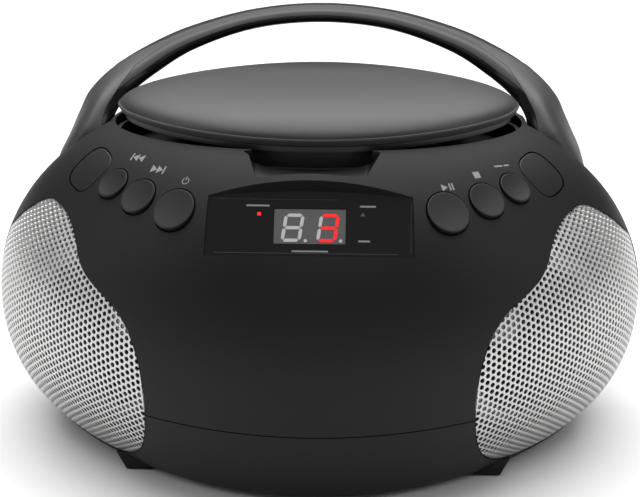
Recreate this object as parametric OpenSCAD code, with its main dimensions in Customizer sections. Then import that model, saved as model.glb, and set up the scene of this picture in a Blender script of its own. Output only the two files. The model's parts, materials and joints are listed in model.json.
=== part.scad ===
// Compact top-loading disc boombox: sculpted shell, lift-up lid, folding carry handle.
// Millimetres, +Z up, X along the width, front towards -Y, origin at the bottom centre.

/* [Body] */
// Overall width of the housing
body_width = 304; // [250:1:380]
// Reach of the front from the seam plane
front_depth = 116; // [98:1:140]
// Reach of the rear from the seam plane
rear_depth = 116; // [98:1:140]
// Level of the widest section
waist_z = 66; // [55:1:80]
// Rise of the crown above the waist
crown = 101; // [88:1:122]
// Drop of the belly below the waist
belly = 85; // [76:1:102]
// Level of the flat underside
floor_z = 4; // [3:0.5:8]
// Level of the seam between base and upper shells
seam_z = 42; // [36:1:50]
// Housing wall
wall = 2.6; // [2:0.1:3.2]
// Gap between housing parts
seam_gap = 0.3; // [0.2:0.05:0.5]

/* [Lid] */
// Half width of the lid
lid_half = 92; // [84:1:96]
// Front reach of the lid
lid_front = 66.5; // [60:0.5:70]
// Rear reach of the lid
lid_rear = 62; // [58:0.5:66]
// Dome height over the rim
lid_dome = 14.5; // [12:0.5:19]
// Lid wall
lid_wall = 2.4; // [1.8:0.1:3]
// Gap between lid and housing
lid_gap = 1.6; // [1:0.1:2.2]
// Radius of the lid hinge pins
lid_pin_r = 2; // [1.5:0.1:2.4]

/* [Handle] */
// Depth of the grip at the middle
grip_depth = 20; // [16:0.5:24]
// Thickness of the grip at the middle
grip_thick = 7.4; // [6:0.2:9]
// Level of the middle of the grip
grip_z = 187.3; // [184:0.1:200]
// Distance of the grip behind the seam plane
grip_y = 60; // [56:0.5:64]
// Radius of the handle pivot pins
pivot_r = 4; // [3:0.1:5]
// Running fit of the pivot pins, each side
pivot_fit = 0.08; // [0.05:0.01:0.1]
// Level of the handle pivot
pivot_z = 122; // [118:1:126]
// Distance of the pivot behind the seam plane
pivot_y = 30; // [28:0.5:34]
// Radius of the round end of each handle arm
ear_r = 28.6; // [24:0.2:30]

/* [Keys] */
// Gap round each key
key_gap = 0.35; // [0.3:0.05:0.5]
// Travel of each key
key_travel = 1.4; // [1:0.1:2]
// Rise of the low side of the round keys over the housing
key_rise = 2.4; // [1.5:0.1:3]

/* [Grille] */
// Thickness of the perforated metal
grille_t = 1; // [0.6:0.1:1.4]
// Gap round each grille
grille_gap = 0.5; // [0.3:0.1:0.8]

/* [Drive] */
// Diameter of the disc
disc_d = 120; // [80:1:120]
// Play of the disc in its well, each side
disc_play = 2.5; // [2:0.1:3]
// Depth of the disc well
well_depth = 4; // [3:0.5:5]
// Radius of the turntable
hub_r = 15; // [12:0.5:17]
// Radius of the guide rods
rod_r = 1.5; // [1:0.1:2]
// Teeth of the sled gear
gear_teeth = 36; // [24:1:40]
// Module of the sled gear
gear_mod = 0.5; // [0.4:0.05:0.6]

/* [Sound] */
// Radius of the speaker basket
basket_r = 41; // [34:0.5:43]
// Depth of the speaker basket
basket_d = 26; // [22:1:30]
// Radius of the magnet
magnet_r = 27; // [20:0.5:29]
// Yaw of each speaker towards its side
speaker_yaw = 35; // [25:1:40]

/* [Power] */
// Cell length
cell_len = 50; // [44:0.5:51]
// Cell diameter
cell_d = 26.2; // [23:0.1:27]
// Play round the cells
cell_play = 1; // [0.6:0.1:2]
// Height of each foot
foot_h = 4; // [3:0.5:8]

/* [Hidden] */
half_w = body_width / 2;
round_up = 2.0;
round_up_in = 2.3;
round_low = 2.2;
round_low_in = 3.0;
taper_front = 0.26;
taper_rear = -0.13;
taper_lid = 0.21;
side_pow = 0.9;
ring_n = 96;

// ---- body form -------------------------------------------------------------------
function sgn_pow(v, e) = sign(v) * pow(abs(v), e);

// share of the full plan size at a level, for the body shrunk by d
function level(z, d = 0) =
    let (up = z > waist_z,
         t = up ? (z - waist_z) / (crown - d) : (waist_z - z) / (belly - d),
         e = up ? round_up : round_low,
         f = up ? round_up_in : round_low_in)
    pow(max(0, 1 - pow(min(1, t), e)), 1 / f);

// level of the crown over a point of the middle plane
function crown_z(y) =
    let (b = y < 0 ? front_depth : rear_depth,
         s = pow(abs(y) / b, 1 / side_pow))
    waist_z + crown * pow(1 - pow(s, round_up_in), 1 / round_up);

function body_point(z, a, d = 0) =
    let (s = level(z, d),
         t = sin(a) < 0 ? taper_front : taper_rear,
         b = (sin(a) < 0 ? front_depth : rear_depth) - d)
    [(half_w - d) * s * cos(a), b * pow(s, side_pow) * sin(a) * (1 - t * pow(cos(a), 2)), z];

// point of the front (v = -1) or rear (v = 1) surface at a width and a level
function face_at(x, z, v = -1) =
    let (s = level(z),
         b = (v < 0 ? front_depth : rear_depth) * pow(s, side_pow),
         q = pow(x / (half_w * s), 2))
    [x, v * b * sqrt(1 - q) * (1 - (v < 0 ? taper_front : taper_rear) * q), z];

function unit(v) = v / norm(v);

// outward direction of the same surface
function face_normal(x, z, v = -1) =
    let (p = face_at(x, z, v),
         a = face_at(x + 0.5, z, v) - p,
         b = face_at(x, z + 0.5, v) - p)
    unit(-v * cross(a, b));

module skin(rings) {
    m = len(rings);
    n = len(rings[0]);
    pts = [for (r = rings) for (p = r) p];
    sides = [for (i = [0:m - 2]) for (j = [0:n - 1])
        let (k = (j + 1) % n, a = i * n + j, b = i * n + k)
        each [[a, a + n, b + n], [a, b + n, b]]];
    low = [[for (j = [0:n - 1]) j]];
    top = [[for (j = [n - 1:-1:0]) (m - 1) * n + j]];
    polyhedron(points = pts, faces = concat(sides, low, top), convexity = 6);
}

function levels(lo, hi, n) = [for (i = [0:n]) lo + (hi - lo) * (1 - pow(1 - i / n, 1.3))];

// closed body solid between two levels, shrunk by d
module body(lo, hi, d = 0, n = 12) {
    skin([for (z = levels(lo, hi, n))
        [for (j = [0:ring_n - 1]) body_point(z, 360 * (j + 0.5) / ring_n, d)]]);
}

module half(front = true, gap = 0) {
    big = 2 * (body_width + front_depth + rear_depth);
    translate([-big / 2, front ? -big - gap : gap, -big / 2])
        cube(big);
}

module facing(p, v) {
    translate(p)
        rotate([0, acos(v[2]), atan2(v[1], v[0])])
            children();
}

// ---- lid and opening -------------------------------------------------------------
rim_z = crown_z(-lid_front) + 0.8;
deck_z = rim_z - 19;
tray_floor = deck_z - well_depth - 2.4;
tray_top = rim_z - 9.8;
lid_low = rim_z - 3.5;
hinge_x = 30;
lug_w = 6;
lug_gap = 0.4;
pin_fit = 0.08;
rear_extra = 1.6;

function lid_edge(x) =
    let (q = pow(x / lid_half, 2))
    lid_rear * sqrt(1 - q) * (1 - taper_lid * q);

hinge_y = lid_edge(hinge_x + lug_w / 2) - 4.5;
hinge_z = rim_z - 5.5;

function plan_point(a, d, dr) =
    [(lid_half + d) * cos(a),
     (sin(a) < 0 ? lid_front + d : lid_rear + d + dr) * sin(a)
         * (1 - taper_lid * pow(cos(a), 2))];

module plan(d, dr = 0, n = 96) {
    polygon([for (j = [0:n - 1]) plan_point(360 * (j + 0.5) / n, d, dr)]);
}

module lid_form(d, base, n = 9) {
    dome = [for (i = [0:n])
        let (r = 1 - pow(i / n, 1.5) * 0.96)
        [r, rim_z + (lid_dome - d) * pow(1 - pow(r, 2.6), 1 / 2.4)]];
    rows = concat([[0.975, base]], dome);
    skin([for (e = rows)
        [for (j = [0:ring_n - 1])
            let (q = plan_point(360 * (j + 0.5) / ring_n, -d, 0))
            [q[0] * e[0], q[1] * e[0], e[1]]]]);
}

module lugs(grow, lo, hi) {
    for (s = [-1, 1])
        translate([s * hinge_x - lug_w / 2 - grow, hinge_y - 3.5 - grow, lo])
            cube([lug_w + 2 * grow, 7 + 2 * grow, hi - lo]);
}

module pin_rods(r, len) {
    for (s = [-1, 1])
        translate([s * hinge_x - len / 2, hinge_y, hinge_z])
            rotate([0, 90, 0])
                cylinder(r = r, h = len, $fn = 48);
}

module lid() {
    color("dimgray")
    difference() {
        union() {
            difference() {
                lid_form(0, lid_low);
                lid_form(lid_wall, lid_low - 1);
            }
            intersection() {
                lugs(0, hinge_z - 3.5, lid_low + 9);
                union() {
                    lid_form(0.8, lid_low);
                    lugs(0, hinge_z - 3.5, lid_low + 1);
                }
            }
        }
        pin_rods(lid_pin_r + pin_fit, lug_w + 4);
    }
}

module lid_liner() {
    color("black")
    difference() {
        translate([0, 0, lid_low + 0.4])
            linear_extrude(1.6)
                plan(-lid_wall - 2.6);
        translate([0, 0, lid_low - 2])
            cylinder(r = 9, h = 6, $fn = 64);
        lugs(0.3, lid_low - 2, lid_low + 4);
    }
}

module lid_hinge_pins() {
    color("silver")
    pin_rods(lid_pin_r, lug_w + 2 * lug_gap + 5);
}

module disc_clamp() {
    color("gray")
    difference() {
        union() {
            translate([0, 0, deck_z + 2.3])
                cylinder(r = 13, h = 1.7, $fn = 64);
            translate([0, 0, deck_z + 4])
                cylinder(r = 11, h = lid_low + 0.4 - deck_z - 4, $fn = 64);
        }
        translate([0, 0, deck_z])
            cylinder(r = 8.8, h = 40, $fn = 64);
    }
}

// ---- deck, drive -----------------------------------------------------------------
hub_hole = hub_r + 1.5;
slot_half = 9;
lens_x = 26;
sled_travel = 30;
chassis_z = tray_floor - 17.6;
rod_y = 16;
rod_z = chassis_z + 8.5;
sled_x = lens_x - 6;
sled_len = 16;
rod_x0 = sled_x - 5;
rod_x1 = sled_x + sled_len + sled_travel + 5;
disc_z = deck_z - well_depth + 2.2;
damper_x = [-50, 66];
damper_y = 31;
pitch_r = gear_mod * gear_teeth / 2;
rack_y = -rod_y - 5;
gear_x = sled_x + 22;
gear_y = rack_y - pitch_r;
gear_z = chassis_z + 5;

module deck_tray() {
    color("dimgray")
    difference() {
        translate([0, 0, tray_floor])
            linear_extrude(tray_top - tray_floor)
                plan(lid_gap - 0.3, rear_extra);
        difference() {
            translate([0, 0, deck_z])
                linear_extrude(tray_top)
                    plan(lid_gap - 2.3, rear_extra);
            for (s = [-1, 1])
                for (t = [-1, 1])
                    translate([s * hinge_x + (t < 0 ? -lug_w / 2 - lug_gap - 2.5
                        : lug_w / 2 + lug_gap), hinge_y - 3.5, deck_z - 1])
                        cube([2.5, 7, tray_top - deck_z + 1]);
        }
        pin_rods(lid_pin_r, 30);
        translate([0, 0, deck_z - well_depth])
            cylinder(r = disc_d / 2 + disc_play, h = 40, $fn = 128);
        translate([0, 0, tray_floor - 1])
            cylinder(r = hub_hole, h = 10, $fn = 96);
        translate([0, -slot_half, tray_floor - 1])
            cube([lens_x + sled_travel + 6, 2 * slot_half, 10]);
    }
}

module turntable() {
    color("silver")
    difference() {
        union() {
            translate([0, 0, disc_z - 2])
                cylinder(r = hub_r, h = 2, $fn = 96);
            translate([0, 0, disc_z])
                cylinder(r = 7.4, h = 2, $fn = 64);
            translate([0, 0, disc_z + 2])
                cylinder(r1 = 7.4, r2 = 5, h = 1.8, $fn = 64);
            translate([0, 0, disc_z - 5])
                cylinder(r = 4, h = 3, $fn = 48);
        }
        translate([0, 0, disc_z - 6])
            cylinder(r = 1.06, h = 6, $fn = 32);
    }
}

module spindle_motor() {
    color("gray")
    union() {
        translate([0, 0, chassis_z + 1.6])
            cylinder(r = 11, h = 9, $fn = 64);
        translate([0, 0, chassis_z + 10.6])
            cylinder(r = 1, h = disc_z - 1 - chassis_z - 10.6, $fn = 32);
    }
}

module mech_chassis() {
    color("lightgray")
    difference() {
        union() {
            translate([-56, -38, chassis_z])
                cube([rod_x1 + 62, 76, 1.6]);
            for (x = [rod_x0, rod_x1 - 3])
                for (s = [-1, 1])
                    translate([x, s * rod_y - 2.5, chassis_z + 1.6])
                        cube([3, 5, rod_z + 3 - chassis_z - 1.6]);
        }
        for (s = [-1, 1])
            translate([rod_x0 - 1, s * rod_y, rod_z])
                rotate([0, 90, 0])
                    cylinder(r = rod_r, h = rod_x1 - rod_x0 + 2, $fn = 32);
        translate([rod_x0 + 6, -11, chassis_z - 1])
            cube([rod_x1 - rod_x0 - 12, 22, 4]);
    }
}

module chassis_dampers() {
    color("black")
    for (x = damper_x)
        for (y = [-damper_y, damper_y])
            translate([x, y, chassis_z + 1.6])
                cylinder(r = 4, h = tray_floor - chassis_z - 1.6, $fn = 48);
}

module guide_rods() {
    color("silver")
    for (s = [-1, 1])
        translate([rod_x0, s * rod_y, rod_z])
            rotate([0, 90, 0])
                cylinder(r = rod_r, h = rod_x1 - rod_x0, $fn = 32);
}

module rack_bar() {
    p = PI * gear_mod;
    k = ceil((sled_travel + 8) / p);
    for (i = [-k:6])
        translate([gear_x + i * p, rack_y - gear_mod * 0.75, gear_z + 0.4])
            linear_extrude(2)
                polygon([[-p * 0.21, gear_mod * 1.7], [-p * 0.13, 0], [p * 0.13, 0],
                    [p * 0.21, gear_mod * 1.7]]);
}

module pickup_sled() {
    color("dimgray")
    difference() {
        union() {
            translate([sled_x, -rod_y - 3, rod_z - 3])
                cube([sled_len, 2 * rod_y + 6, 6]);
            translate([sled_x, -8, rod_z + 3])
                cube([sled_len, 16, tray_floor - 0.6 - rod_z - 3]);
            translate([gear_x - sled_travel - 8, rack_y + gear_mod * 0.9, gear_z + 0.4])
                cube([sled_travel + 16, 1.6, 2]);
            translate([sled_x, rack_y + gear_mod * 0.9 + 0.8, gear_z + 0.4])
                cube([sled_len, 4, rod_z - gear_z]);
            rack_bar();
        }
        for (s = [-1, 1])
            translate([sled_x - 1, s * rod_y, rod_z])
                rotate([0, 90, 0])
                    cylinder(r = rod_r + 0.08, h = sled_len + 2, $fn = 32);
    }
}

module pickup_lens() {
    color("lightblue")
    translate([lens_x, 0, tray_floor - 0.6])
        cylinder(r = 3.6, h = disc_z - 1.4 - tray_floor + 0.6, $fn = 48);
}

module sled_gear() {
    n = gear_teeth;
    color("ivory")
    difference() {
        translate([gear_x, gear_y, gear_z])
            linear_extrude(2.8)
                polygon([for (i = [0:n - 1])
                    let (a = 90 + 360 * (i + 0.5) / n, w = 360 / n)
                    each [for (q = [[-0.27, -1.1], [-0.13, 0.7], [0.13, 0.7], [0.27, -1.1]])
                        (pitch_r + q[1] * gear_mod) * [cos(a + q[0] * w), sin(a + q[0] * w)]]]);
        translate([gear_x, gear_y, gear_z - 1])
            cylinder(r = 1.07, h = 6, $fn = 32);
    }
}

module sled_motor() {
    color("gray")
    union() {
        translate([gear_x, gear_y, gear_z + 3.2])
            cylinder(r = 7, h = 8, $fn = 64);
        translate([gear_x, gear_y, chassis_z + 1.6])
            cylinder(r = 1, h = gear_z + 3.2 - chassis_z - 1.6, $fn = 32);
    }
}

// ---- handle ----------------------------------------------------------------------
ear_in = 96.2;
bush_r = pivot_r + 3;
trim_cut = 0.35;
trim_gap = 0.2;

// front edge, back edge, half thickness and roundness along the right half
arm = [
    [[0, grip_y - grip_depth / 2, grip_z - 1.1], [0, grip_y + grip_depth / 2, grip_z + 1.1],
        grip_thick / 2, 2.2],
    [[33.1, grip_y - grip_depth / 2, grip_z - 4.6], [34.1, grip_y + grip_depth / 2,
        grip_z - 2], grip_thick / 2, 2.2],
    [[62.4, grip_y - 11, grip_z - 14.7], [66.6, grip_y + 10, grip_z - 11], 3.9, 2.4],
    [[80.7, 43, 162.7], [90, 66, 165.3], 4.7, 2.6],
    [[92.7, 30, 156], [103.6, 58, 155.8], 5.6, 3],
    [[99.5, 14, 150], [110.6, 50, 148], 6.2, 3.4],
    [[104.2, 3.5, 141.2], [112, 50, 139.5], 8.4, 3.8],
    [[108.8, 1.5, pivot_z + 9], [113.8, 56, pivot_z + 7], 10.8, 4.2],
    [[112.3, pivot_y - ear_r, pivot_z - 1], [115.3, pivot_y + ear_r, pivot_z - 2], 12.8, 4.2],
    [[114, pivot_y - 0.88 * ear_r, pivot_z - 13.5], [116.5, pivot_y + 0.88 * ear_r,
        pivot_z - 13.5], 13.3, 4.2],
    [[115, pivot_y - 0.64 * ear_r, pivot_z - 21.5], [117, pivot_y + 0.64 * ear_r,
        pivot_z - 21.8], 12.8, 4.2],
    [[115.5, pivot_y - 0.34 * ear_r, pivot_z - 26.4], [117, pivot_y + 0.34 * ear_r,
        pivot_z - 26.4], 11.5, 4.2]];
arm_n = len(arm) - 1;

function mirrored(s) = [[-s[0][0], s[0][1], s[0][2]], [-s[1][0], s[1][1], s[1][2]], s[2], s[3]];
function station(i) = let (k = min(abs(i), arm_n)) i < 0 ? mirrored(arm[k]) : arm[k];
function blend(a, b, c, d, t) =
    0.5 * ((2 * b) + (c - a) * t + (2 * a - 5 * b + 4 * c - d) * t * t
        + (3 * b - a - 3 * c + d) * t * t * t);
function arm_at(u) =
    let (i = min(floor(u), arm_n - 1), t = u - i,
         a = station(max(i - 1, -arm_n)), b = station(i), c = station(i + 1),
         d = station(i + 2))
    [blend(a[0], b[0], c[0], d[0], t), blend(a[1], b[1], c[1], d[1], t),
     blend(a[2], b[2], c[2], d[2], t), blend(a[3], b[3], c[3], d[3], t)];

function arm_frame(u) =
    let (s = arm_at(u),
         lo = arm_at(max(u - 0.05, -arm_n)), hi = arm_at(min(u + 0.05, arm_n)),
         t = unit((hi[0] + hi[1]) - (lo[0] + lo[1])),
         w = (s[1] - s[0]) / 2,
         n = unit(cross(w, t)))
    [(s[0] + s[1]) / 2, w, n * s[2], s[3]];

// part of the arm section over the cut (outer) or under it (inner), closed by a flat side
function arm_loop(f, outer, m) =
    let (e = f[3],
         a0 = asin(pow(trim_cut, e / 2)),
         a1 = outer ? -a0 : 180 + a0,
         a2 = outer ? 180 + a0 : 360 - a0,
         arc = [for (j = [0:m])
             let (a = a1 + (a2 - a1) * j / m)
             f[0] + f[1] * sgn_pow(cos(a), 2 / e) + f[2] * sgn_pow(sin(a), 2 / e)],
         down = outer ? [0, 0, 0] : -trim_gap * unit(f[2]))
    concat([arc[0] + down], [for (j = [1:m - 1]) arc[j]],
        [for (j = [0:5]) arc[m] + (arc[0] - arc[m]) * j / 6 + down]);

module arm_sweep(outer, m, k) {
    skin([for (i = [-arm_n * k:arm_n * k]) arm_loop(arm_frame(i / k), outer, m)]);
}

module pivots(r, x0, x1) {
    for (s = [-1, 1])
        translate([s > 0 ? x0 : -x1, pivot_y, pivot_z])
            rotate([0, 90, 0])
                cylinder(r = r, h = x1 - x0, $fn = 64);
}

module handle() {
    color("dimgray")
    difference() {
        arm_sweep(true, 15, 2);
        pivots(bush_r, 90, 112);
    }
}

module handle_trim() {
    color("black")
    difference() {
        arm_sweep(false, 9, 2);
        pivots(bush_r, 90, 112);
    }
}

module handle_bushes() {
    color("ivory")
    difference() {
        pivots(bush_r, ear_in + 1.5, 112);
        pivots(pivot_r + pivot_fit, 80, 130);
    }
}

module pivot_pins() {
    color("silver")
    pivots(pivot_r, ear_in - wall - 4, 111.5);
}

module pocket(grow) {
    x0 = ear_in - grow;
    r = ear_r + 1 + grow;
    for (s = [-1, 1])
        scale([s, 1, 1]) {
            translate([x0, pivot_y, pivot_z])
                rotate([0, 90, 0])
                    cylinder(r = r, h = 90, $fn = 96);
            translate([x0, -1, pivot_z])
                cube([90, pivot_y + 1, 90]);
        }
}

// ---- window and display ----------------------------------------------------------
window_half = 43.4;
window_h = 25.6;
window_z = 125.8;
window_tilt = 37;
window_arch = 2.6;
window_in = 2;
window_y = face_at(window_half, window_z)[1] + window_in;
glass_t = 1.6;

module on_window() {
    translate([0, window_y, window_z])
        rotate([90 - window_tilt, 0, 0])
            children();
}

module window_form(d) {
    n = 16;
    h = window_h / 2 + d;
    w = window_half + d;
    polygon(concat([[-w, -h], [w, -h]],
        [for (i = [0:n]) let (t = 1 - 2 * i / n) [t * (w - 0.8), h + window_arch * (1 - t * t)]]));
}

module display_window() {
    color("black")
    on_window()
        translate([0, 0, -glass_t])
            linear_extrude(glass_t)
                window_form(1.2);
}

module display_module() {
    color("gray")
    on_window()
        translate([-14.8, -7, -glass_t - 4])
            cube([29.6, 15, 3.6]);
}

module seven_segment(x, shown) {
    w = 7;
    h = 11;
    t = 1.3;
    bars = [[0, h - t, w, t], [w - t, h / 2, t, h / 2], [w - t, 0, t, h / 2], [0, 0, w, t],
        [0, 0, t, h / 2], [0, h / 2, t, h / 2], [0, h / 2 - t / 2, w, t]];
    for (i = shown)
        translate([x + bars[i][0] + 0.15, bars[i][1] + 0.15, 0])
            cube([bars[i][2] - 0.3, bars[i][3] - 0.3, 0.3]);
}

module display_digits() {
    color("red")
    on_window()
        translate([0, -5, -glass_t - 0.4])
            union() {
                seven_segment(-11.5, [0, 1, 2, 3, 4, 5]);
                seven_segment(3, [0, 1, 2, 3, 4, 5]);
            }
}

module display_board() {
    color("green")
    on_window()
        translate([-38, -11, -glass_t - 5.6])
            cube([76, 21, 1.6]);
}

module light_at(x) {
    on_window()
        translate([x, 5.8, -glass_t - 4])
            cylinder(r = 1.5, h = 3.6, $fn = 32);
}

module power_light() {
    color("red")
    light_at(-21.6);
}

module mode_light() {
    color("gray")
    light_at(21.6);
}

// ---- keys ------------------------------------------------------------------------
cap_x = 100.2;
cap_z = 135.2;
cap_r = 11.4;
cap_round = 0.68;
key_taper = 1.2;
round_keys = [[57.4, 130, 10], [74.2, 131.6, 8.8], [87, 133.3, 7.9]];
key_lean = 0.16;
key_deep = 4.2;
stem_deep = 8.2;

function side_of(s, v) = [s * v[0], v[1], v[2]];
function key_axis(i) =
    unit(face_normal(round_keys[i][0], round_keys[i][1]) + [0, 0, key_lean]);
function key_point(i) = face_at(round_keys[i][0], round_keys[i][1]);

module round_key(s, i) {
    r = round_keys[i][2];
    color("dimgray")
    facing(side_of(s, key_point(i)), side_of(s, key_axis(i)))
        union() {
            translate([0, 0, -key_deep])
                cylinder(r1 = r - key_taper, r2 = r, h = key_deep - 1, $fn = 64);
            translate([0, 0, -1])
                cylinder(r = r, h = key_rise - 0.2, $fn = 64);
            translate([0, 0, key_rise - 1.2])
                cylinder(r1 = r, r2 = r - 0.7, h = 0.5, $fn = 64);
            translate([0, 0, -stem_deep])
                cylinder(r = 2.4, h = stem_deep - key_deep, $fn = 32);
        }
}

module round_hole(s, i, grow) {
    facing(side_of(s, key_point(i)), side_of(s, key_axis(i)))
        translate([0, 0, -30])
            cylinder(r = round_keys[i][2] + grow, h = 50, $fn = 64);
}

module squircle(r) {
    polygon([for (j = [0:47])
        let (a = 7.5 * j)
        r * [sgn_pow(cos(a), cap_round), sgn_pow(sin(a), cap_round)]]);
}

module on_cap(s) {
    facing(side_of(s, face_at(cap_x, cap_z)), side_of(s, face_normal(cap_x, cap_z)))
        rotate([0, 0, s * 38])
            children();
}

module cap_key(s) {
    color("dimgray")
    union() {
        intersection() {
            on_cap(s)
                union() {
                    translate([0, 0, -1.2])
                        linear_extrude(4)
                            squircle(cap_r);
                    mirror([0, 0, 1])
                        translate([0, 0, 1.2])
                            linear_extrude(key_deep - 1.2, scale = 0.9)
                                squircle(cap_r);
                }
            body(95, rim_z - 6, 0, 10);
        }
        on_cap(s)
            translate([0, 0, -stem_deep])
                cylinder(r = 2.4, h = stem_deep - key_deep, $fn = 32);
    }
}

module cap_hole(s, grow) {
    on_cap(s)
        translate([0, 0, -30])
            linear_extrude(50)
                squircle(cap_r + grow);
}

module key_volume_down() { cap_key(-1); }
module key_volume_up() { cap_key(1); }
module key_previous() { round_key(-1, 2); }
module key_next() { round_key(-1, 1); }
module key_power() { round_key(-1, 0); }
module key_play() { round_key(1, 0); }
module key_stop() { round_key(1, 1); }
module key_program() { round_key(1, 2); }

module key_board(s) {
    color("green")
    facing(side_of(s, key_point(1)), side_of(s, face_normal(round_keys[1][0],
        round_keys[1][1])))
        translate([-9, -38, -18])
            cube([18, 76, 1.6]);
}

module key_board_left() { key_board(-1); }
module key_board_right() { key_board(1); }

// ---- grilles and speakers --------------------------------------------------------
grille_low = 8.5;
grille_edge = [[121, 119], [113.5, 119.6], [107.8, 116.6], [103.8, 110.5], [101.7, 104],
    [97.8, 98], [90.5, 92.8], [82.2, 87], [76.8, 79], [73.3, 69], [71.6, 59], [71, 44.5],
    [72.2, 31], [75.7, 19.5], [83, 11.5], [92, grille_low], [400, grille_low], [400, 84],
    [149, 88], [145, 97], [134, 109.6]];

// outline grown by d away from a point inside it
function grown(p, d) =
    let (c = [112, 62], v = p - c)
    c + v + d * unit(v);

module grille_prism(s, d, back) {
    scale([s, 1, 1])
        translate([0, -back, 0])
            rotate([90, 0, 0])
                linear_extrude(400)
                    polygon([for (p = grille_edge) grown(p, d)]);
}

module grille(s) {
    color("silver")
    intersection() {
        difference() {
            body(grille_low - 2, 124, 0.4, 14);
            body(grille_low - 3, 125, 0.4 + grille_t, 14);
        }
        grille_prism(s, 0, 3.5);
    }
}

module grille_left() { grille(-1); }
module grille_right() { grille(1); }

speaker_x = 97;
speaker_y = -50;
speaker_z = 62;
magnet_t = 12;
baffle_t = 3;
cone_depth = 17;
cone_wall = 0.8;

module on_speaker(s) {
    scale([s, 1, 1])
        translate([speaker_x, speaker_y, speaker_z])
            rotate([0, 0, speaker_yaw])
                rotate([90, 0, 0])
                    children();
}

module baffle(s) {
    color("dimgray")
    difference() {
        intersection() {
            body(floor_z + wall + 0.3, 112, wall + 0.4, 8);
            on_speaker(s)
                translate([-110, -110, -baffle_t])
                    cube([220, 220, baffle_t]);
            scale([s, 1, 1])
                translate([50, -150, 0])
                    cube([200, 300, 300]);
        }
        on_speaker(s)
            translate([0, 0, -baffle_t - 1])
                cylinder(r = basket_r - 5, h = baffle_t + 2, $fn = 96);
    }
}

module basket(s) {
    color("gray")
    on_speaker(s)
        difference() {
            union() {
                cylinder(r = basket_r, h = 1.4, $fn = 96);
                translate([0, 0, -basket_d])
                    cylinder(r1 = magnet_r - 4, r2 = basket_r - 5.4, h = basket_d, $fn = 96);
            }
            translate([0, 0, -basket_d + 1.5])
                cylinder(r1 = magnet_r - 5.4, r2 = basket_r - 7, h = basket_d + 0.2, $fn = 96);
            translate([0, 0, -2.2])
                cylinder(r = basket_r - 7, h = 5, $fn = 96);
        }
}

module cone(s) {
    color("black")
    on_speaker(s)
        rotate_extrude($fn = 96)
            polygon([[12, -cone_depth - 3], [basket_r - 13, -4], [basket_r - 11, -3],
                [basket_r - 9.5, -1.4], [basket_r - 8, -2.2], [basket_r - 7.2, -2.2],
                [basket_r - 7.2, -1.4], [basket_r - 9, 0.2], [basket_r - 11.5, -2.2],
                [basket_r - 13.5, -3.2], [11, -cone_depth - 2.4], [11, -cone_depth - 6],
                [12, -cone_depth - 6]]);
}

module dust_cap(s) {
    color("silver")
    on_speaker(s)
        intersection() {
            translate([0, 0, -cone_depth - 12])
                sphere(r = 17, $fn = 64);
            translate([0, 0, -cone_depth - 1.7])
                cylinder(r = 11.6, h = 20, $fn = 64);
        }
}

module magnet(s) {
    color("dimgray")
    on_speaker(s)
        union() {
            translate([0, 0, -basket_d - magnet_t])
                cylinder(r = magnet_r, h = magnet_t, $fn = 96);
            translate([0, 0, -basket_d - magnet_t - 2])
                cylinder(r = magnet_r - 3, h = 2, $fn = 96);
        }
}

module baffle_left() { baffle(-1); }
module baffle_right() { baffle(1); }
module basket_left() { basket(-1); }
module basket_right() { basket(1); }
module cone_left() { cone(-1); }
module cone_right() { cone(1); }
module dust_cap_left() { dust_cap(-1); }
module dust_cap_right() { dust_cap(1); }
module magnet_left() { magnet(-1); }
module magnet_right() { magnet(1); }

// ---- power -----------------------------------------------------------------------
cells_long = 3;
bay_half = cells_long * cell_len / 2 + cell_play + 1;
bay_low = seam_z + 4;
bay_high = bay_low + 2 * cell_d + 2 * cell_play;
bay_back = 90;
bay_front = bay_back - cell_d - 2 * cell_play;
bay_wall = 1.6;
door_half = bay_half + 1;
door_low = bay_low - 0.5;
door_high = bay_high + 1;
door_gap = 0.5;
inlet_x = -100;
inlet_z = 56;
inlet_w = 24;
inlet_h = 14;
inlet_deep = 20;
inlet_in = 1.5;

module battery_box() {
    color("dimgray")
    difference() {
        translate([-bay_half - bay_wall, bay_front - bay_wall, bay_low - bay_wall])
            cube([2 * (bay_half + bay_wall), bay_back - bay_front + bay_wall,
                bay_high - bay_low + 2 * bay_wall]);
        translate([-bay_half, bay_front, bay_low])
            cube([2 * bay_half, bay_back, bay_high - bay_low]);
    }
}

module battery_contacts() {
    color("silver")
    for (s = [-1, 1])
        for (k = [0, 1])
            translate([s * (bay_half - 0.3) - 0.3, bay_front + 7,
                bay_low + 7 + k * (cell_d + cell_play)])
                cube([0.6, 12, 12]);
}

module battery_door() {
    color("dimgray")
    intersection() {
        difference() {
            body(door_low - 6, door_high + 6, 0, 12);
            body(door_low - 7, door_high + 7, wall, 12);
        }
        translate([-door_half, 20, door_low])
            cube([2 * door_half, 200, door_high - door_low]);
    }
}

module on_inlet() {
    facing(face_at(inlet_x, inlet_z, 1), face_normal(inlet_x, inlet_z, 1))
        children();
}

module ac_inlet() {
    color("black")
    on_inlet()
        difference() {
            translate([-inlet_h / 2, -inlet_w / 2, -inlet_deep])
                cube([inlet_h, inlet_w, inlet_deep - inlet_in]);
            for (s = [-1, 1])
                translate([0, s * 4.4, -inlet_deep + 5])
                    cylinder(r = 3.9, h = 30, $fn = 32);
        }
}

module transformer() {
    color("gray")
    union() {
        translate([-92, 8, floor_z + wall])
            cube([40, 34, 30]);
        translate([-88, 4, floor_z + wall + 6])
            cube([32, 42, 18]);
    }
}

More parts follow.
